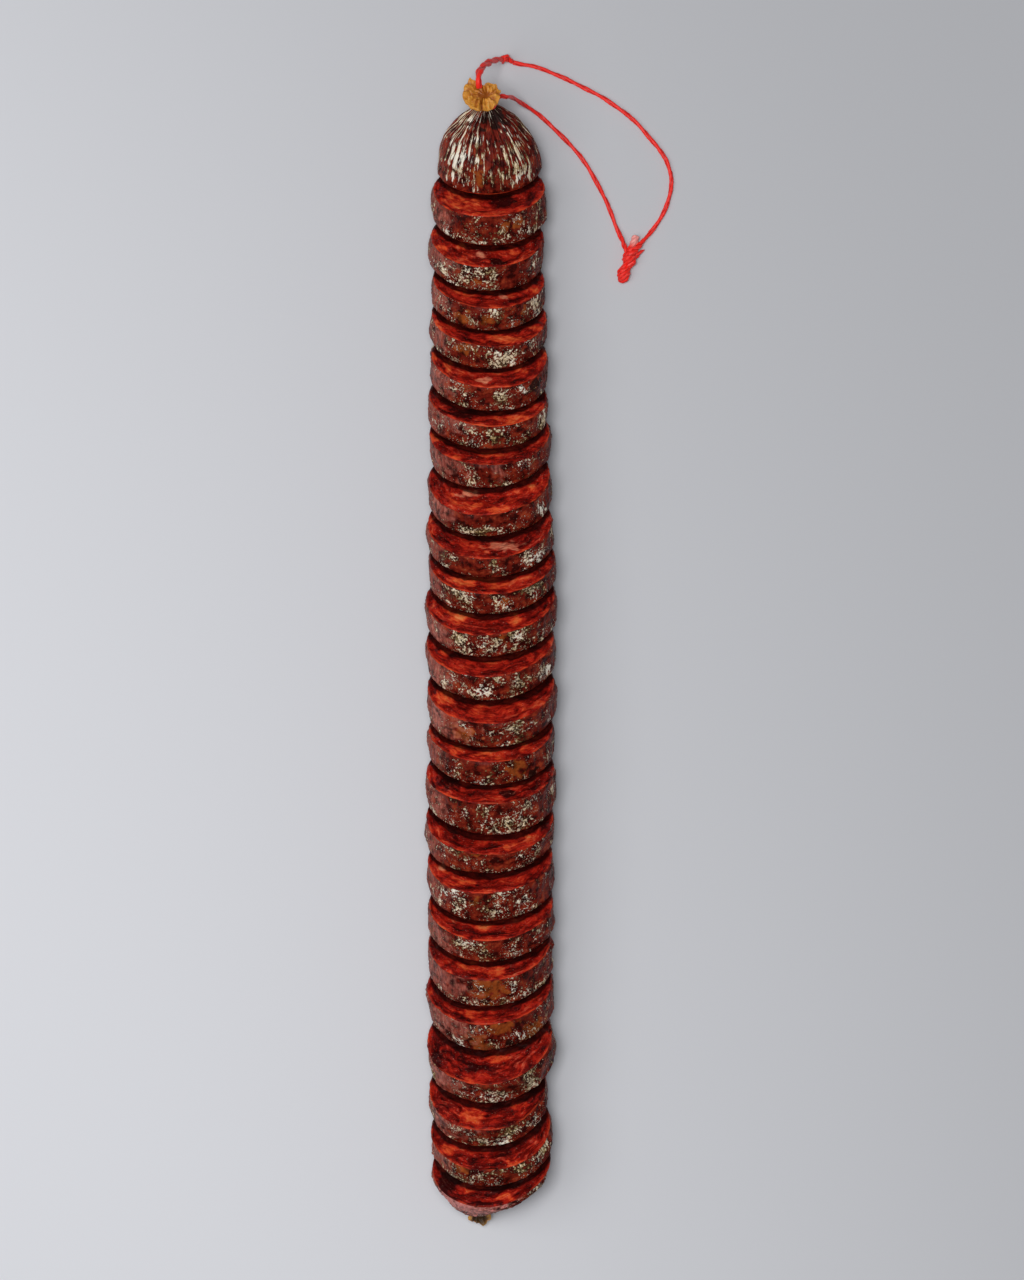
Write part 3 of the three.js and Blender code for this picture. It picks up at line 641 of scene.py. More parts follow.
class Paint:
    """A material's nodes. node() makes any of them, and the others are the few that every finish needs."""

    def __init__(self, name):
        self.material = bpy.data.materials.new(name)
        self.material.use_nodes = True
        self.tree = self.material.node_tree
        self.tree.nodes.clear()

    def node(self, kind, settings=None, inputs=None, output=0):
        made = self.tree.nodes.new(kind)
        for key, value in (settings or {}).items():
            setattr(made, key, value)
        for key, value in (inputs or {}).items():
            if isinstance(value, Wire):
                self.tree.links.new(value.socket, made.inputs[key])
            else:
                made.inputs[key].default_value = value
        return Wire(self, made.outputs[output]) if made.outputs else None

    def maths(self, operation, first, second=0.0):
        return self.node("ShaderNodeMath", {"operation": operation}, {0: first, 1: second})

    def vectors(self, operation, first, second=None, output=0):
        inputs = {0: first}
        if second is not None:
            inputs["Scale" if operation == "SCALE" else 1] = second
        return self.node("ShaderNodeVectorMath", {"operation": operation}, inputs, output)

    def attribute(self, name):
        return self.node("ShaderNodeAttribute", {"attribute_name": name}, output="Fac")

    def vector_attribute(self, name):
        return self.node("ShaderNodeAttribute", {"attribute_name": name}, output="Vector")

    def parts(self, vector):
        """The three numbers of a vector."""
        return [self.node("ShaderNodeSeparateXYZ", None, {0: vector}, output=k) for k in range(3)]

    def mix(self, factor, first, second):
        first, second = (c if isinstance(c, Wire) else (*c, 1.0) for c in (first, second))
        return self.node("ShaderNodeMix", {"data_type": "RGBA"}, {0: factor, 6: first, 7: second}, output=2)

    def shades(self, value, colour, *stops):
        """A first colour, and after it each stop's colour once value has passed its bounds."""
        for low, high, following in stops:
            colour = self.mix(value.ramp(low, high), colour, following)
        return colour

    def noise(self, vector, size, detail=2.0, roughness=0.5, distortion=0.0, across=None):
        """Noise of about that size in metres. across adds a fourth way through it."""
        inputs = {"Vector": vector, "Scale": 1 / size, "Detail": detail, "Roughness": roughness,
                  "Distortion": distortion}
        if across is not None:
            inputs["W"] = across
        return self.node("ShaderNodeTexNoise", {"noise_dimensions": "4D" if "W" in inputs else "3D"}, inputs)

    def bump(self, height, distance, strength=1.0):
        return self.node("ShaderNodeBump", None,
                         {"Height": height, "Distance": distance, "Strength": strength})

    def finish(self, **sockets):
        """The surface: a Principled shader with those sockets."""
        names = {key.replace("_", " ").title(): value for key, value in sockets.items()}
        names = {key.replace("Ior", "IOR"): value for key, value in names.items()}
        surface = self.node("ShaderNodeBsdfPrincipled", None, names)
        self.node("ShaderNodeOutputMaterial", None, {"Surface": surface})
        return self.material


def face_shares(count):
    """Rings of a cut face as shares of the radius, from near its middle, closer together near the rim."""
    return (1 - RIM_IN) * (1 - (1 - np.linspace(0.03, 1, count, endpoint=False)) ** 1.4)


def edge_shares():
    """Rings of a rounded edge, a quarter ellipse: how far out, and how far down from the face."""
    corner = np.linspace(0, math.pi / 2, CORNER_RINGS)
    return 1 - RIM_IN * (1 - np.sin(corner)), RIM_DOWN * (1 - np.cos(corner))


def rounded_profile(radius, thickness):
    """A slice's half section from the middle of the upper face, over the rim, down the bellied side and in to
    the middle of the lower face: the share of the radius, the share of the thickness, and how far each point
    lies inside the nearer edge of the casing, negative on the casing."""
    corner_r, corner_h = edge_shares()
    corner_h = 1 - corner_h
    side = np.linspace(1 - RIM_DOWN, RIM_DOWN, SLICE_RINGS[1])[1:-1]
    upper, lower = face_shares(SLICE_RINGS[0]), face_shares(SLICE_RINGS[2])[::-1]
    r = np.concatenate([upper, corner_r, 1 + BELLY * (1 - (2 * side - 1) ** 2), corner_r[::-1], lower])
    h = np.concatenate([np.ones_like(upper), corner_h, side, 1 - corner_h[::-1], np.zeros_like(lower)])
    steps = np.hypot(np.diff(r * radius), np.diff(h * thickness))
    way = np.concatenate([[0], np.cumsum(steps)])
    edge = way[len(upper) + CASING_RING]
    other_edge = way[len(way) - len(lower) - CASING_RING - 1]
    return r, h, np.maximum(edge - way, way - other_edge)


def slice_sizes():
    """Every cut from the tied end down, and how far down the unsliced sausage each one lies."""
    foot, cuts, depths = FIRST_CUT_AT, [], [0.0]
    for step, _, _, lean, turn in SLICES:
        cuts.append(cut_at(foot, lean, turn))
        depths.append(depths[-1] + step * math.cos(math.radians(lean)) + CUT_GAP)
        foot -= step
    cuts.append(cut_at(foot, TAIL_LEAN, TAIL_TURN))
    return cuts, depths


def casing_relief(sizes, place, number, around, down):
    """How far the casing stands out: slow swells, fine wrinkles along the sausage, and near the other end
    ridges on the right that follow the cut's edge."""
    relief = sizes.skin_relief * ripples(place, 0.012, 31)
    relief = relief + sizes.wrinkle_depth * ripples(place * (1, 0.16, 1), 0.0022, 32)
    relief = relief + 0.5 * sizes.wrinkle_depth * ripples(place, 0.0015, 35)
    if number >= RIDGED_FROM:
        cover = smooth(around, 0.002, 0.009) * (1 - smooth(around, 0.026, 0.032))
        wander = 0.9 * ripples(place, 0.006, 36)
        relief = relief + sizes.ridge_depth * cover * np.cos(TAU * down / 0.0017 + 2 * wander)
    return relief


def face_relief(sizes, place, inset):
    """How far a cut face stands out: low swells and fine grooves that run round with the edge."""
    from_axis = np.hypot(place[..., 0], place[..., 2])
    grooves = ripples(unit(place) * 0.012 + from_axis[..., None] * (0, 5.0, 0), 0.004, 37)
    relief = ripples(place, 0.008, 33) + 0.35 * ripples(place, 0.0024, 34) + 0.35 * grooves
    return smooth(inset, 0.0, 0.0015) * sizes.face_relief * relief


def add_slice(number, upper, lower, depth, sizes, material):
    """A slice: rings of a rounded disc between the lower and the upper cut. Each point is blended between its
    place on the two cuts, with the outline's waves and the relief of casing and cut faces added."""
    _, width, side, _, _ = SLICES[number - 1]
    radius = width / 2
    side += SIDE_OFFSET
    low = on_cut(lower, side, CUT_GAP / 2, radius * FLATNESS)
    axis = unit(lower.axis + upper.axis)
    thickness = np.dot(upper.foot - CUT_GAP / 2 * upper.axis - low, upper.axis) / np.dot(axis, upper.axis)
    high = low + thickness * axis
    r, h, inset = (values[:, None] for values in rounded_profile(radius, thickness))
    angle = turns(sizes.columns, TOP_GATHER)[None, :]
    reach = radius * r * unevenness(angle, number)
    from_edge = (1 - h) * thickness
    place = laid_out(reach, -depth - from_edge, angle)
    around = (math.pi / 2 - angle) * radius
    on_rim = np.exp(-(inset / EDGE_BLEND) ** 2)
    reach = reach + on_casing(inset) * casing_relief(sizes, place, number, around, from_edge)
    reach = reach + on_rim * 0.00008 * ripples(place, 0.0035, 38)
    below = ring_points(low, lower.across, lower.up, reach, angle)
    above = ring_points(high, upper.across, upper.up, reach, angle)
    points = below + h[..., None] * (above - below)
    points = points + ((2 * (h > 0.5) - 1) * face_relief(sizes, place, inset))[..., None] * axis
    points = rested(points, slide_to_table(points, lower.up))
    outside = under_last(number, upper, points)
    attributes = surface_fields(number, place, from_edge, thickness, inset, angle, outside)
    name = f"slice_{number:02d}"
    closed_mesh(f"cut_{name}", points, attributes, material, "sausage", name)


def dome_profile(height, full, neck, power, shoulder, rows):
    """Rings of a dome from its cut to its neck, closer together near the neck: the radius falls from full to
    neck as (1 - t ** power) ** shoulder, t being the share of the height."""
    t = np.sin(np.linspace(0.04, 1, rows) * math.pi / 2)
    return neck + (full - neck) * (1 - t ** power) ** shoulder, height * t


def face_and_corner(radius, rows):
    """The cut face of an end, from its middle to its rim, and its rounded edge to where the dome begins."""
    face = face_shares(rows)
    corner_r, corner_y = (values[:-1] for values in edge_shares())
    r, y = np.concatenate([face, corner_r]), np.concatenate([0 * face, corner_y])
    return radius * r, radius * y


def end_inset(r, depth, rows):
    """How far inside the edge of the casing each ring of an end lies, negative on the casing."""
    way = np.concatenate([[0], np.cumsum(np.hypot(np.diff(r), np.diff(depth)))])
    return way[rows + CASING_RING] - way


def pleat_waves(angle, height):
    """Rounded ridges with sharp valleys between: absolute cosines round the dome with unlike counts, whose
    phases wander with height."""
    first = np.abs(np.cos(18.5 * angle + 0.9 * np.sin(height / 0.006) + 0.5 * np.sin(2 * angle)))
    second = np.abs(np.cos(30 * angle - 0.8 * np.sin(height / 0.004 + 1)))
    third = np.abs(np.cos(45.5 * angle + 0.7 * np.sin(height / 0.003 + 2)))
    return 0.45 * first + 0.33 * second + 0.22 * third


def cap_middle(cut, height):
    """The middle of the tied end's ring at a height above its cut."""
    centre = on_cut(cut, CAP_SIDE + SIDE_OFFSET, CUT_GAP / 2, CAP_WIDTH / 2 * FLATNESS)
    drift = CAP_DRIFT * np.minimum(1, height / CAP_HEIGHT) ** 2
    return centre + height[..., None] * cut.axis + drift[..., None] * cut.across


def add_end_cap(cut, sizes, material):
    """The tied end: a dome on the first cut whose casing is drawn up into pleats that deepen to the neck."""
    radius = CAP_WIDTH / 2
    face_rings, dome_rings, neck_rings = CAP_RINGS
    face_r, face_y = face_and_corner(radius, face_rings)
    dome_r, dome_y = dome_profile(CAP_HEIGHT, radius, NECK_RADIUS, CAP_POWER, 1, dome_rings)
    neck_y = np.linspace(CAP_HEIGHT, CAP_HEIGHT + NECK_LENGTH, neck_rings + 1)[1:]
    r = np.concatenate([face_r, dome_r, np.full(neck_rings, NECK_RADIUS), [NECK_RADIUS * 0.4]])
    y = np.concatenate([face_y, dome_y, neck_y, neck_y[-1:]])
    inset = end_inset(r, y, face_rings)[:, None]
    r, y = r[:, None], y[:, None]
    angle = turns(CAP_COLUMNS, 0.2)[None, :]
    gathered = smooth(y, 0.001, 0.022) * (1 - smooth(y, CAP_HEIGHT - 0.001, CAP_HEIGHT))
    pleats = pleat_waves(angle, y) - 0.5
    depth = sizes.pleat_depth * (0.3 + 0.7 * gathered) * np.minimum(1, 0.25 + r / 0.008)
    place = laid_out(r, y, angle)
    on_skin = on_casing(inset)
    reach = r * unevenness(angle, CAP_SEED) + on_skin * depth * pleats * (y < CAP_HEIGHT)
    reach = reach + on_skin * smooth(r, 0.004, 0.012) * sizes.skin_relief * ripples(place, 0.010, 41)
    points = ring_points(cap_middle(cut, y), cut.across, cut.up, reach, angle)
    points = rested(points, slide_to_table(points, cut.up))
    attributes = surface_fields(0, place, y, CAP_HEIGHT, inset, angle, 1)
    attributes["mould"][..., 0] += on_skin * (0.6 * pleats * (0.4 + 0.6 * gathered) - 0.12 * y / CAP_HEIGHT)
    # Painted shade in the valleys of the pleats.
    attributes["corner"] += on_skin * gathered * smooth(-pleats, 0.0, 0.5)
    closed_mesh("cap", points, attributes, material, "sausage", "end_cap")


def tail_ring(cut, centre, depth):
    """The middle and the axes of the other end's ring at a depth: its middle moves up by TAIL_LIFT and aside
    by TAIL_DRIFT with the square of the depth, and the ring tilts with it."""
    t = depth[..., None] / TAIL_DEPTH
    tilt = np.arctan(2 * TAIL_LIFT * t / TAIL_DEPTH)
    middle = centre - depth[..., None] * cut.axis
    middle = middle + TAIL_LIFT * t ** 2 * cut.up + TAIL_DRIFT * t ** 2 * cut.across
    up = cut.up * np.cos(tilt) + cut.axis * np.sin(tilt)
    axis = cut.axis * np.cos(tilt) - cut.up * np.sin(tilt)
    return middle, up, axis


def tail_centre(cut):
    return on_cut(cut, TAIL_SIDE + SIDE_OFFSET, -CUT_GAP / 2, TAIL_WIDTH / 2 * FLATNESS)


def tail_dome(rows):
    return dome_profile(TAIL_DEPTH, TAIL_WIDTH / 2, TAIL_NECK_RADIUS, TAIL_POWER, TAIL_SHOULDER, rows)


def tail_slide(cut):
    """How far the other end slides up the slope of its cut until it rests, worked out on its plain dome."""
    r, y = (values[:, None] for values in tail_dome(rows=60))
    angle = turns(columns=96)[None, :]
    middle, up, _ = tail_ring(cut, tail_centre(cut), y)
    reach = r * unevenness(angle, TAIL_SEED)
    return slide_to_table(ring_points(middle, cut.across, up, reach, angle, TAIL_FLATNESS), cut.up)


def add_tail_end(cut, depth_down, sizes, material):
    """The other end: the last cut face with its blunt point, and under it a dome that bends up to its tip."""
    radius = TAIL_WIDTH / 2
    face_rings, dome_rings = TAIL_RINGS
    face_r, face_y = face_and_corner(radius, face_rings)
    dome_r, dome_y = tail_dome(dome_rings)
    r = np.concatenate([face_r, dome_r, [TAIL_NECK_RADIUS * 0.5]])
    y = np.concatenate([face_y, dome_y, [TAIL_DEPTH]])
    inset = end_inset(r, y, face_rings)[:, None]
    r, y = r[:, None], y[:, None]
    angle = turns(TAIL_COLUMNS)[None, :]
    point = 1 + TAIL_POINT * np.maximum(0, np.cos(angle - TAIL_POINT_ANGLE)) ** 4
    place = laid_out(r, -depth_down - y, angle)
    around = (math.pi / 2 - angle) * radius
    skin = casing_relief(sizes, place, TAIL_NUMBER, around, y)
    gathered = smooth(y, 0.008, TAIL_DEPTH)
    skin = skin + sizes.pleat_depth * gathered * np.minimum(1, r / 0.008) * (pleat_waves(angle, y) - 0.5)
    reach = r * unevenness(angle, TAIL_SEED) * point + on_casing(inset) * skin
    middle, up, _ = tail_ring(cut, tail_centre(cut), y)
    points = ring_points(middle, cut.across, up, reach, angle, TAIL_FLATNESS)
    points = rested(points + face_relief(sizes, place, inset)[..., None] * cut.axis, tail_slide(cut))
    outside = under_last(TAIL_NUMBER, cut, points)
    attributes = surface_fields(TAIL_NUMBER, place, y, TAIL_DEPTH, inset, angle, outside)
    closed_mesh("tail", points, attributes, material, "sausage", "tail_end")


def smooth_path(route, step):
    """Points a step apart on the centripetal Catmull-Rom curve through a route, made from cubic Hermite
    pieces whose ends' slopes come from the roots of the neighbouring spans. Also how far along each lies, and
    how far along each point of the route does."""
    points = np.array(route, float)
    points = np.vstack([2 * points[0] - points[1], points, 2 * points[-1] - points[-2]])
    knots = np.concatenate([[0], np.cumsum(np.sqrt(np.linalg.norm(np.diff(points, axis=0), axis=1)))])
    spans = np.diff(knots)[:, None]
    slopes = np.diff(points, axis=0) / spans
    tangents = (slopes[:-1] * spans[1:] + slopes[1:] * spans[:-1]) / (spans[:-1] + spans[1:])
    per_span = 40
    t = np.linspace(0, 1, per_span, endpoint=False)[None, :, None]
    start, end, span = points[1:-2, None], points[2:-1, None], spans[1:-1, None]
    m0, m1 = tangents[:-1, None] * span, tangents[1:, None] * span
    curve = (2 * t ** 3 - 3 * t ** 2 + 1) * start + (t ** 3 - 2 * t ** 2 + t) * m0
    curve = curve + (3 * t ** 2 - 2 * t ** 3) * end + (t ** 3 - t ** 2) * m1
    curve = np.vstack([curve.reshape(-1, 3), points[-2]])
    way = np.concatenate([[0], np.cumsum(np.linalg.norm(np.diff(curve, axis=0), axis=1))])
    evenly = np.linspace(0, way[-1], max(4, round(way[-1] / step)))
    path = np.stack([np.interp(evenly, way, curve[:, k]) for k in range(3)], -1)
    return path, evenly, way[::per_span]


def path_axes(path):
    """Two directions square to a path at each point, carried along it without twist, each worked out from the
    one before by taking away its part along the path."""
    along = unit(np.gradient(path, axis=0))
    first = unit(np.cross(along[0], (0, 0, 1)) + 1e-6)
    sides = [first]
    for direction in along[1:]:
        sides.append(unit(sides[-1] - np.dot(sides[-1], direction) * direction))
    sides = np.array(sides)
    return sides, np.cross(along, sides)


def strand_rings(path, way, radius, lobes, pitch, hollow, columns):
    """A twisted strand: round each point of the path a ring whose radius dips by hollow between its lobes,
    which turn once in every pitch, with fine fibres across. Also the lobes' height, and where each point lies
    round and along the strand."""
    side, other = path_axes(path)
    angle = turns(columns)[None, :]
    twist = (TAU * way / pitch)[:, None]
    lobe = np.abs(np.cos(lobes / 2 * (angle - twist)))
    round_about = angle + 0 * twist
    around = np.stack([np.cos(round_about), np.sin(round_about), way[:, None] / MM + 0 * angle], -1)
    fibres = 1 + 0.05 * ripples(around * (2.5, 2.5, 1), 2.2, 61)
    reach = radius[:, None] * (1 - hollow + hollow * lobe) * fibres
    rings = path[:, None] + (reach * np.cos(round_about))[..., None] * side[:, None]
    rings = rings + (reach * np.sin(round_about))[..., None] * other[:, None]
    return rings, lobe, around


def closed_off(way, length):
    """A share that is drawn in over a short length at both ends, as a quarter ellipse."""
    from_end = np.minimum(way, way[-1] - way)
    return np.sqrt(1 - 0.96 * (1 - np.clip(from_end / length, 0, 1)) ** 2)


def add_string(name, route, diameter, twist, swells, material, *nodes):
    """A twisted string along a route, with swells where its plies part, each as how far along it is, how much
    thicker and over what half length. Also its path, thinned out, and its length."""
    path, way, _ = smooth_path(route, step=0.00025)
    unevenly = 1 + 0.05 * np.sin(way / 0.0021) * np.sin(way / 0.0047)
    radius = diameter / 2 * closed_off(way, 0.0004) * unevenly
    for at, gain, half in swells:
        radius = radius * (1 + gain * np.exp(-((way - at) / half) ** 2))
    rings, lobe, around = strand_rings(path, way, radius, PLIES, *twist, STRING_COLUMNS)
    attributes = {"lobe": lobe, "around": around, "pale": 0 * lobe}
    return closed_mesh(name, rings, attributes, material, "string", *nodes), path[::4], way[-1]


def add_knot_part(name, route, radii, lobes, pale, material, *nodes):
    """A thick strand of a knot along a short route, whose plies turn quickly. pale whitens its end: a frayed
    end on the stub, and painted glints of light on the knot's other parts.
    """
    path, way, stops = smooth_path(route, step=0.00015)
    radius = np.interp(way, stops, radii) * closed_off(way, 0.4 * radii[-1])
    pitch, hollow = 0.004 + 0.0012 * lobes, 0.3 - 0.02 * lobes
    rings, lobe, around = strand_rings(path, way, radius, lobes, pitch, hollow, KNOT_COLUMNS)
    paleness_and_glints = pale * smooth(way / way[-1], 0.1, 0.6)[:, None] + 0 * lobe
    attributes = {"lobe": lobe, "around": around, "pale": paleness_and_glints}
    return closed_mesh(name, rings, attributes, material, "string", *nodes)


def gathered_rings(folds, middle_height, wall, columns, hollow):
    """Casing gathered past a tie, made along +Y: a skirt from its foot out to a rim and back over the top to
    the middle. Its reach and the rim's height go from fold to fold, with rounded ridges on the folds and sharp
    valleys between, and the top is puffed out just inside the rim. Also its painted shading, low in the valleys
    and high on the folds and near the rim. hollow is the share of the reach within which it is dark, at the
    other end a painted shadow."""
    skirt_rings, roll_rings, top_rings = GATHER_RINGS
    angle = turns(columns)
    at, reach, height, cleft = (np.array(column) for column in zip(*folds))
    at = np.radians(np.concatenate([at[-1:] - 360, at, at[:1] + 360]))
    reach, height, cleft = (MM * np.concatenate([v[-1:], v, v[:1]]) for v in (reach, height, cleft))
    after = np.searchsorted(at, angle, side="right")
    before = after - 1
    share = (angle - at[before]) / (at[after] - at[before])
    blend = smooth(share, 0, 1)
    valley = (1 - np.abs(np.cos(math.pi * share))) * cleft[before]
    rim_r, rim_y = (v[before] * (1 - blend) + v[after] * blend - 0.7 * valley for v in (reach, height))
    q = np.linspace(0.06, 1, skirt_rings)[:, None]
    under_y = (rim_y - wall) * smooth(q, 0.25, 1)
    roll = np.linspace(0, math.pi, roll_rings + 2)[1:-1, None]
    roll_r = rim_r + 0.35 * wall * np.sin(roll)
    roll_y = rim_y - wall / 2 * (1 + np.cos(roll))
    p = np.linspace(1, 0.04, top_rings)[:, None]
    top_y = middle_height + (rim_y - middle_height) * p ** 1.4 + 0.9 * MM * np.sin(math.pi * p ** 2)
    top_y = top_y - 1.3 * valley * smooth(p, 0.0, 0.6)
    r = np.concatenate([q * rim_r, roll_r, p * rim_r])
    y = np.concatenate([under_y, roll_y, top_y])
    out = np.concatenate([q, 0 * roll + 1, p]) + 0 * r
    turn = angle + 0.5 * (1 - out)
    points = np.stack([r * np.cos(turn), y, r * np.sin(turn)], -1)
    crumple = 0.30 * MM * ripples(points, 0.0030, 71) + 0.10 * MM * ripples(points, 0.0010, 72)
    radial = ripples(np.stack([np.cos(angle + 0 * r), np.sin(angle + 0 * r), 0.6 * out], -1), 0.4, 73)
    points[..., 1] += (crumple + 0.10 * MM * radial) * smooth(out, 0.15, 0.6)
    points[..., [0, 2]] *= (1 + 0.02 * radial)[..., None]
    # Painted shading of the folds: low in the valleys for painted shade, high on the folds and near the rim for
    # painted highlights.
    crease = 0.55 - valley / MM + 0.12 * radial + 0.3 * smooth(out, 0.7, 1)
    return points, {"crease": crease, "deep": 1 - smooth(out, 0.2, hollow)}


def stand(points, foot, axis, up):
    """Stands a piece that was made along +Y at a foot, with its axis and its up side given."""
    across = unit(np.cross(axis, up))
    return foot + points[..., :1] * across + points[..., 1:2] * axis + points[..., 2:] * up


def meat_colour(paint, colours, place, ring, from_axis, tone, pale, inset):
    """Cut meat: streaks and fibres that run round with the edge and wander inwards, lumps, fine grain and pale
    flecks, partly fat grains and partly painted glints of wet meat, from maroon over red to orange fat, with an
    oily line along the edge. Also its height for the bumps."""
    across = from_axis + 0.008 * (paint.noise(place, 0.009, 2.0) - 0.5)
    streaks = paint.noise(ring, 0.014, 4.0, 0.6, across=across * 5.0)
    fibres = paint.noise(ring, 0.004, 4.0, 0.65, across=across * 4.0)
    lumps = paint.noise(place, 0.006, 2.0, 0.5, 0.5)
    grain = paint.noise(place, 0.0008, 3.0, 0.65)
    value = 0.38 * streaks + 0.24 * fibres + 0.24 * lumps + 0.14 * grain + 0.12 * tone
    meat = paint.shades(value, colours.maroon, (0.415, 0.475, colours.lean), (0.475, 0.535, colours.paprika),
                        (0.535, 0.61, colours.oil), (0.60, 0.74, colours.fat))
    paler = (pale + 1.6 * (fibres - 0.5) + 1.0 * (streaks - 0.5)).ramp(0.1, 1.0)
    meat = paint.mix(paler * 0.85, meat, colours.pale_fat)
    # Pale flecks, partly fat grains and partly painted glints of wet meat.
    flecks_and_glints = paint.noise(place, 0.0005, 2.0, 0.5).ramp(0.67, 0.75)
    meat = paint.mix(flecks_and_glints * 0.5, meat, shade(222, 160, 136))
    edge = inset.ramp(0.0, 0.0002) * (1 - inset.ramp(0.0003, 0.0009)) * lumps.ramp(0.4, 0.6)
    meat = paint.mix(edge * 0.5, meat, colours.oil)
    return meat, 0.5 * fibres + 0.5 * grain


def casing_colour(paint, colours, ring, tone, growth, age, bloom_and_sheen, streak):
    """Casing: mottled burgundy with wrinkles, amber over fat, black spots, and a pink bloom, which on the left
    flank and the other end is partly a painted sheen of light, with a lighter pink painted highlight where that
    sheen is strongest. Over it the mould: clumps with specks of powder past their edges and an olive halo round
    the older ones, fresh and white, cream, or khaki over dark olive. streak draws the clumps out along the
    sausage, and on the flanks their grains are long. Also where mould is, and the height for the bumps."""
    wrinkled = paint.vectors("MULTIPLY", ring, (1, 0.18, 1))
    mottle = 0.8 * paint.noise(ring, 0.0036, 4.0, 0.6) + 0.2 * paint.noise(wrinkled, 0.0013, 3.0, 0.6)
    skin = paint.shades(mottle, colours.skin_dark, (0.41, 0.51, colours.skin),
                        (0.51, 0.64, colours.skin_light))
    skin = paint.mix((tone + 3.0 * (mottle - 0.5)).ramp(0.2, 1.3) * 0.65, skin, colours.amber)
    skin = paint.mix((-1 * tone + 1.5 * (mottle - 0.5)).ramp(0.3, 1.0) * 0.9, skin, shade(26, 14, 10))
    fine = paint.noise(wrinkled, 0.0008, 3.0, 0.65)
    # The bloom, partly a painted sheen of light on the left flank and the other end.
    bloom_and_sheen_cover = bloom_and_sheen * (0.4 + 0.8 * fine.ramp(0.40, 0.66)) * mottle.ramp(0.30, 0.54)
    skin = paint.mix(bloom_and_sheen_cover * 0.85, skin, colours.bloom_and_sheen)
    sides, _, _ = paint.parts(ring)
    flank = paint.maths("ABSOLUTE", sides).ramp(0.013, 0.019)
    drawn = paint.vectors("MULTIPLY", ring, (1, streak, 1))
    patches = paint.noise(drawn, 0.0034, 3.0, 0.6)
    round_grains = paint.noise(drawn, 0.0009, 4.0, 0.7)
    long_grains = paint.noise(paint.vectors("MULTIPLY", ring, (1, 0.3 * streak, 1)), 0.0009, 4.0, 0.7)
    grains = round_grains * (1 - 0.7 * flank) + long_grains * (0.7 * flank)
    # A lighter pink painted highlight where the painted sheen is strongest.
    skin = paint.mix((bloom_and_sheen + 2.0 * (fine - 0.5) - 1.2).ramp(0.0, 1.0) * 0.55, skin, shade(238, 150, 150))
    spread = 0.45 * (patches - 0.5) + 0.8 * growth
    thick = 1.3 * (grains - 0.5) + 0.5 + spread
    halo = spread.ramp(-0.02, 0.12) * age.ramp(0.0, 0.6)
    skin = paint.mix(halo * 0.7, skin, shade(46, 36, 20))
    specks = (paint.noise(drawn, 0.0006, 2.0, 0.6) + 0.3 * spread).ramp(0.62, 0.68)
    mould = paint.maths("MAXIMUM", thick.ramp(0.59, 0.65), specks)
    aged = age + 3.2 * (paint.noise(ring, 0.0009, 3.0, 0.7) - 0.5) - 1.5 * (thick - 0.65)
    powdery = paint.shades(aged, shade(250, 242, 224), (-0.5, 0.1, colours.mould),
                           (0.3, 0.9, colours.old_mould), (0.8, 1.5, shade(72, 56, 32)))
    height = 0.3 * mottle + 0.3 * fine + mould * (0.5 + 0.8 * grains)
    return paint.mix(mould * 0.93, skin, powdery), mould, height


def meat_and_casing(name, colours, sizes, streak):
    """The sausage's finish, cut meat where inset is above nothing and casing elsewhere, with shade painted into
    the corners between two pieces and into the tied end's pleat valleys."""
    paint = Paint(name)
    place = paint.vector_attribute("place")
    inset = paint.attribute("inset")
    tone = paint.attribute("tone")
    growth, age, bloom_and_sheen = paint.parts(paint.vector_attribute("mould"))
    flat = paint.vectors("MULTIPLY", place, (1, 0, 1))
    from_axis = paint.vectors("LENGTH", flat, output="Value")
    ring = paint.vectors("SCALE", paint.vectors("NORMALIZE", flat), 0.022)
    ring = paint.vectors("ADD", ring, paint.vectors("MULTIPLY", place, (0, 1, 0)))
    meat, meat_height = meat_colour(paint, colours, place, ring, from_axis, tone, growth, inset)
    skin, mould, skin_height = casing_colour(paint, colours, ring, tone, growth, age, bloom_and_sheen, streak)
    on_face = inset.ramp(-0.00008, 0.00008)
    height = on_face * meat_height + (1 - on_face) * skin_height
    normal = paint.bump(height, 1.6 * sizes.mould_height, 0.9)
    roughness = on_face * (0.36 + 0.2 * meat_height) + (1 - on_face) * (0.45 + 0.4 * mould)
    colour = paint.mix(on_face, skin, meat)
    # Painted shade: the corners between pieces and the pleats' valleys darkened towards near black.
    corner = (paint.attribute("corner") + 2.0 * (meat_height - 0.5)).ramp(0.15, 0.85)
    colour = paint.mix(corner * 0.9, colour, shade(26, 4, 3))
    return paint.finish(base_color=colour, roughness=roughness, normal=normal, specular_ior_level=0.07)


def dried_casing(name, colours, inside):
    """Amber, half clear casing: the colour of its inside in the middle, which in the open casing at the other
    end is a painted shadow, painted shade brown in its valleys, gold on its folds and a painted highlight pale
    along their edges."""
    paint = Paint(name)
    crease = paint.attribute("crease")
    deep = paint.attribute("deep")
    place = paint.node("ShaderNodeTexCoord", output="Object")
    mottle = paint.noise(place, 0.0028, 3.0, 0.6)
    grain = paint.noise(place, 0.0007, 3.0, 0.7)
    value = crease + 1.4 * (mottle - 0.5)
    # Painted shade turns the valleys brown.
    colour = paint.shades(value, shade(44, 14, 5), (-0.9, 0.0, shade(168, 94, 26)),
                          (0.1, 0.6, colours.gather))
    colour = paint.mix(grain.ramp(0.50, 0.62) * 0.45, colour, shade(136, 72, 18))
    # A painted highlight pales the folds' edges.
    colour = paint.mix((value + 2.4 * (grain - 0.5)).ramp(0.75, 1.5) * 0.8, colour, shade(246, 208, 120))
    # Darker in the middle; in the open casing at the other end this is a painted shadow in its hole.
    colour = paint.mix((deep + 0.5 * (mottle - 0.5)).ramp(0.2, 0.8) * 0.93, colour, inside)
    normal = paint.bump(grain, 0.0002, 0.8)
    return paint.finish(base_color=colour, roughness=0.4, normal=normal, specular_ior_level=0.3)


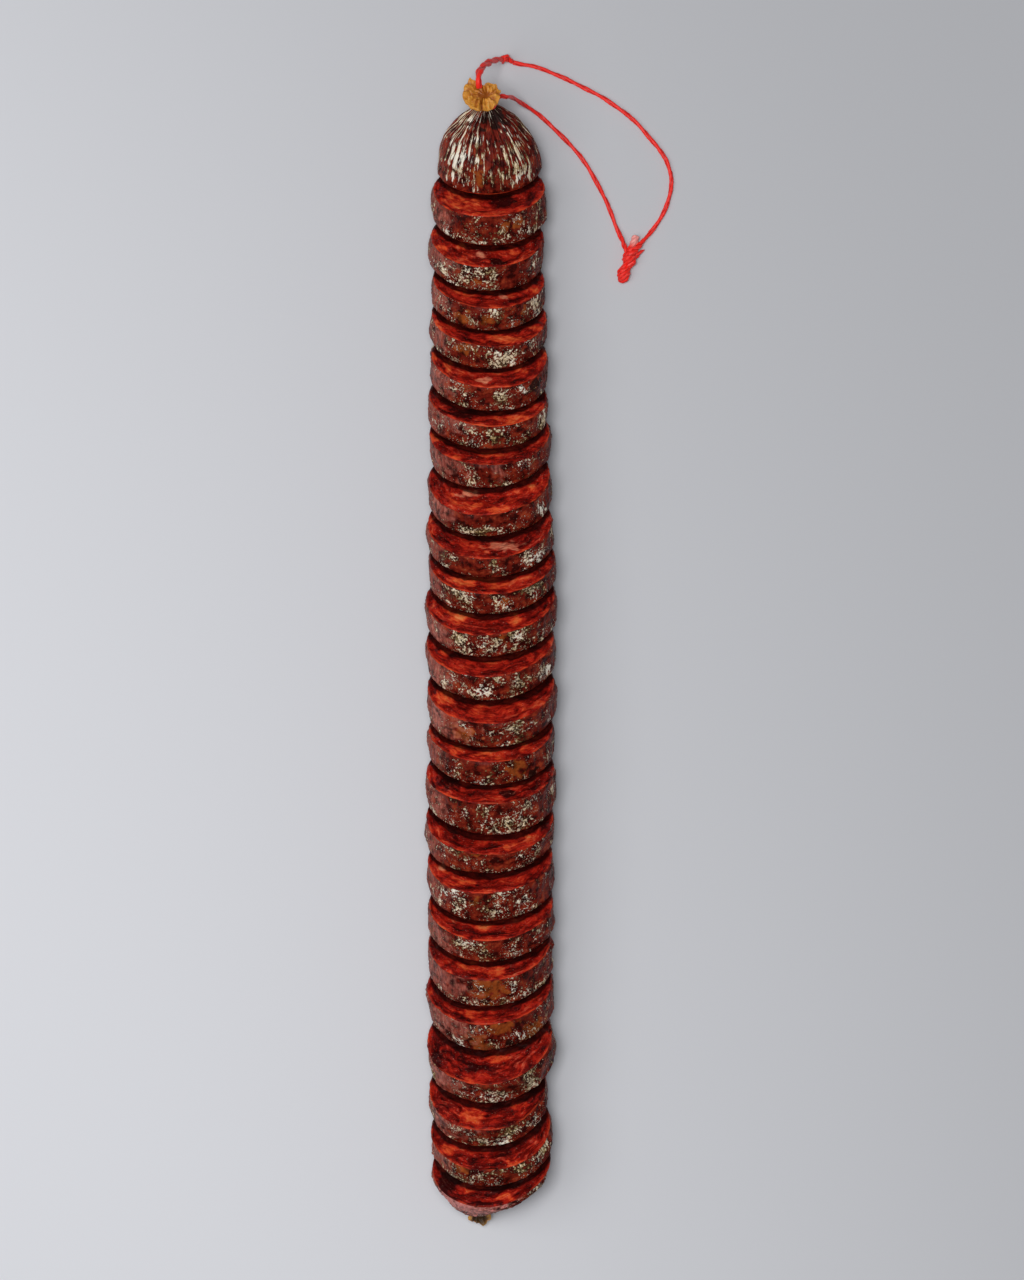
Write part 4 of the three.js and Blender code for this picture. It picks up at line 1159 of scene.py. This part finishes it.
def red_string(colours):
    """Glossy red twisted string: painted shade between its plies, lighter fibres, and whitened at a cut end and
    by painted glints on the knots.
    """
    paint = Paint("red string")
    lobe = paint.attribute("lobe")
    around = paint.vector_attribute("around")
    fibres = paint.noise(paint.vectors("MULTIPLY", around, (6, 6, 0.6)), 1.0, 3.0, 0.6)
    slow = paint.noise(around, 6.0, 2.0, 0.5)
    # Painted shade in the grooves between the plies.
    colour = paint.mix(lobe.ramp(0.0, 0.5), shade(176, 14, 12), colours.string)
    colour = paint.mix(slow.ramp(0.5, 0.7) * 0.4, colour, shade(206, 24, 18))
    colour = paint.mix(fibres.ramp(0.52, 0.72) * 0.5, colour, shade(255, 92, 76))
    # Whitened at the stub's frayed end, and elsewhere on the knots by painted glints of light.
    pale = paint.attribute("pale")
    colour = paint.mix((pale + 0.6 * (fibres - 0.5)).ramp(0.2, 1.1) * 0.8, colour, shade(250, 176, 168))
    normal = paint.bump(fibres, 0.0002, 0.5)
    return paint.finish(base_color=colour, roughness=0.4, normal=normal, specular_ior_level=0.3)


class ChorizoMaker:
    bl_options = {"REGISTER", "UNDO"}


class CHORIZO_OT_stage(ChorizoMaker, bpy.types.Operator):
    """Adds the pale floor, the soft lights and the camera straight above"""
    bl_idname = "chorizo.stage"
    bl_label = "Stage"

    def execute(self, context):
        scene = context.scene
        studio = scene.chorizo_studio
        scene.view_settings.view_transform = "Standard"
        camera = bpy.data.objects.new("camera", bpy.data.cameras.new("camera"))
        camera.data.sensor_width = SENSOR_MM
        camera.data.lens = SENSOR_MM * FOCAL_PIXELS / IMAGE_LONG_SIDE
        camera.data.clip_start, camera.data.clip_end = CLIP_START, CLIP_END
        camera.location = (*CAMERA_FOOT, CAMERA_HEIGHT)
        scene.collection.objects.link(camera)
        scene.camera = camera

        paint = Paint("pale floor")
        right, back, _ = paint.parts(paint.node("ShaderNodeTexCoord", output="Object"))
        # Painted falloff of light: the floor darkens towards the far right corner.
        painted_falloff = (right + back * 0.5).ramp(-FLOOR_PAINTED_FALLOFF_REACH, FLOOR_PAINTED_FALLOFF_REACH)
        colour = paint.mix(painted_falloff, studio.floor, [FLOOR_PAINTED_FALLOFF * c for c in studio.floor])
        floor = bpy.data.objects.new("floor", bpy.data.meshes.new("floor"))
        corners = [(x * FLOOR_REACH, y * FLOOR_REACH, FLOOR_HEIGHT)
                   for x, y in ((-1, -1), (1, -1), (1, 1), (-1, 1))]
        floor.data.from_pydata(corners, [], [(0, 1, 2, 3)])
        floor.data.materials.append(paint.finish(base_color=colour, roughness=0.75))
        scene.collection.objects.link(floor)

        self.softbox("key", KEY_PLACE, studio.key_watts)
        self.softbox("fill", FILL_PLACE, studio.fill_watts)
        world = bpy.data.worlds.new("studio")
        world.use_nodes = True
        sky = world.node_tree.nodes["Background"]
        sky.inputs["Color"].default_value = SKY_TINT
        sky.inputs["Strength"].default_value = studio.sky
        scene.world = world
        return {"FINISHED"}

    @staticmethod
    def softbox(name, place, watts):
        """A square area light that looks at the middle of the sausage."""
        light = bpy.data.lights.new(name, "AREA")
        light.size = SOFTBOX_SIZE
        light.energy = watts
        made = bpy.data.objects.new(name, light)
        made.location = place
        aim = -np.array(place)
        made.rotation_euler = (math.acos(aim[2] / np.linalg.norm(aim)) + math.pi, 0,
                               math.atan2(aim[1], aim[0]) + math.pi / 2)
        bpy.context.scene.collection.objects.link(made)


class CHORIZO_OT_string(ChorizoMaker, bpy.types.Operator):
    """Adds the string: its three free stretches, the two knots and the tie round the neck"""
    bl_idname = "chorizo.string"
    bl_label = "String"

    def execute(self, context):
        material = red_string(context.scene.chorizo_colours)
        shank, path, length = add_string("doubled_string", SHANK_ROUTE, SHANK_DIAMETER, SHANK_TWIST,
                                         SHANK_SWELLS, material, "string_shank")
        replaced = {"hitch_turn": ["string_hitch"], "knot_upper": ["string_knot"]}
        for name, (route, radii, lobes, pale) in KNOTS.items():
            route, radii = MM * np.array(route), MM * np.array(radii)
            add_knot_part(name, route, radii, lobes, pale, material, *replaced.get(name, []))
        cut = slice_sizes()[0][0]
        neck = cap_middle(cut, np.array(CAP_HEIGHT + NECK_LENGTH - TIE_BELOW_MOUTH))
        t = np.linspace(0, TIE_TURN, TIE_POINTS)[:, None]
        circle = neck + TIE_RADIUS * (np.cos(t) * cut.across + np.sin(t) * cut.up)
        add_knot_part("neck_turn", circle + TIE_RISE * t / TAU * cut.axis,
                                           np.full(TIE_POINTS, STRING_DIAMETER / 2), PLIES, 0, material,
                                           "neck_tie")
        long_piece, path, length = add_string("long_string", LONG_ROUTE, STRING_DIAMETER, LONG_TWIST, (),
                                              material, "string_long")
        short, path, length = add_string("short_string", SHORT_ROUTE, STRING_DIAMETER, SHORT_TWIST, (),
                                         material, "string_short")
        return {"FINISHED"}


class CHORIZO_OT_sausage(ChorizoMaker, bpy.types.Operator):
    """Adds the tied end, the slices and the other end"""
    bl_idname = "chorizo.sausage"
    bl_label = "Sausage"

    def execute(self, context):
        scene = context.scene
        colours, sizes = scene.chorizo_colours, scene.chorizo_sizes
        slices = meat_and_casing("meat and casing", colours, sizes, streak=0.8)
        ends = meat_and_casing("pleated casing", colours, sizes, streak=0.2)
        cuts, depths = slice_sizes()
        add_end_cap(cuts[0], sizes, ends)
        for number in range(1, TAIL_NUMBER):
            add_slice(number, cuts[number - 1], cuts[number], depths[number - 1], sizes, slices)
        add_tail_end(cuts[-1], depths[-1], sizes, slices)
        return {"FINISHED"}


class CHORIZO_OT_gathers(ChorizoMaker, bpy.types.Operator):
    """Adds the dried casing gathered past both ends"""
    bl_idname = "chorizo.gathers"
    bl_label = "Gathered casing"

    def execute(self, context):
        colours = context.scene.chorizo_colours
        cuts, _ = slice_sizes()
        foot = cap_middle(cuts[0], np.array(CAP_HEIGHT + NECK_LENGTH + FOOT_GAP))
        points, attributes = gathered_rings(TUFT_FOLDS, middle_height=0.0016, wall=0.001,
                                            columns=TUFT_COLUMNS, hollow=0.5)
        closed_mesh("tuft", stand(points, foot, cuts[0].axis, cuts[0].up), attributes,
                    dried_casing("dried casing", colours, shade(150, 78, 20)), "casing", "casing_tuft")
        middle, up, axis = tail_ring(cuts[-1], tail_centre(cuts[-1]), np.array([TAIL_DEPTH]))
        points, attributes = gathered_rings(TAIL_FOLDS, middle_height=0.0004, wall=0.0009,
                                            columns=TAIL_GATHER_COLUMNS, hollow=1.5)
        foot = middle[0] - FOOT_GAP * axis[0] + tail_slide(cuts[-1])
        out, rise = unit(GATHER_RISE * up[0] - axis[0]), unit(up[0] + GATHER_RISE * axis[0])
        # The open casing's near-black inside is a painted shadow in its hole.
        closed_mesh("tail_gather", stand(points, foot, out, rise), attributes,
                    dried_casing("open casing", colours, shade(12, 6, 3)), "casing", "casing_tail")
        return {"FINISHED"}


class CHORIZO_PT_panel(bpy.types.Panel):
    """Lists the pieces and their settings"""
    bl_idname = "CHORIZO_PT_panel"
    bl_label = "Chorizo"
    bl_space_type = "VIEW_3D"
    bl_region_type = "UI"
    bl_category = "Chorizo"

    def draw(self, context):
        for maker in MAKERS:
            self.layout.operator(maker.bl_idname)
        for group in GROUPS:
            settings = getattr(context.scene, group)
            box = self.layout.box()
            for key in settings.bl_rna.properties.keys():
                if key not in ("name", "rna_type"):
                    box.prop(settings, key)


MAKERS = (CHORIZO_OT_stage, CHORIZO_OT_string, CHORIZO_OT_sausage, CHORIZO_OT_gathers)
GROUPS = {
    "chorizo_sizes": ChorizoSizes,
    "chorizo_colours": ChorizoColours,
    "chorizo_studio": ChorizoStudio,
}


def register():
    for made in (*GROUPS.values(), *MAKERS, CHORIZO_PT_panel):
        bpy.utils.register_class(made)
    for key, group in GROUPS.items():
        setattr(bpy.types.Scene, key, PointerProperty(type=group))


def unregister():
    for key in GROUPS:
        delattr(bpy.types.Scene, key)
    for made in reversed((*GROUPS.values(), *MAKERS, CHORIZO_PT_panel)):
        bpy.utils.unregister_class(made)


def main():
    register()
    bpy.ops.chorizo.stage()
    bpy.ops.chorizo.string()
    bpy.ops.chorizo.sausage()
    bpy.ops.chorizo.gathers()


if __name__ == "__main__":
    main()
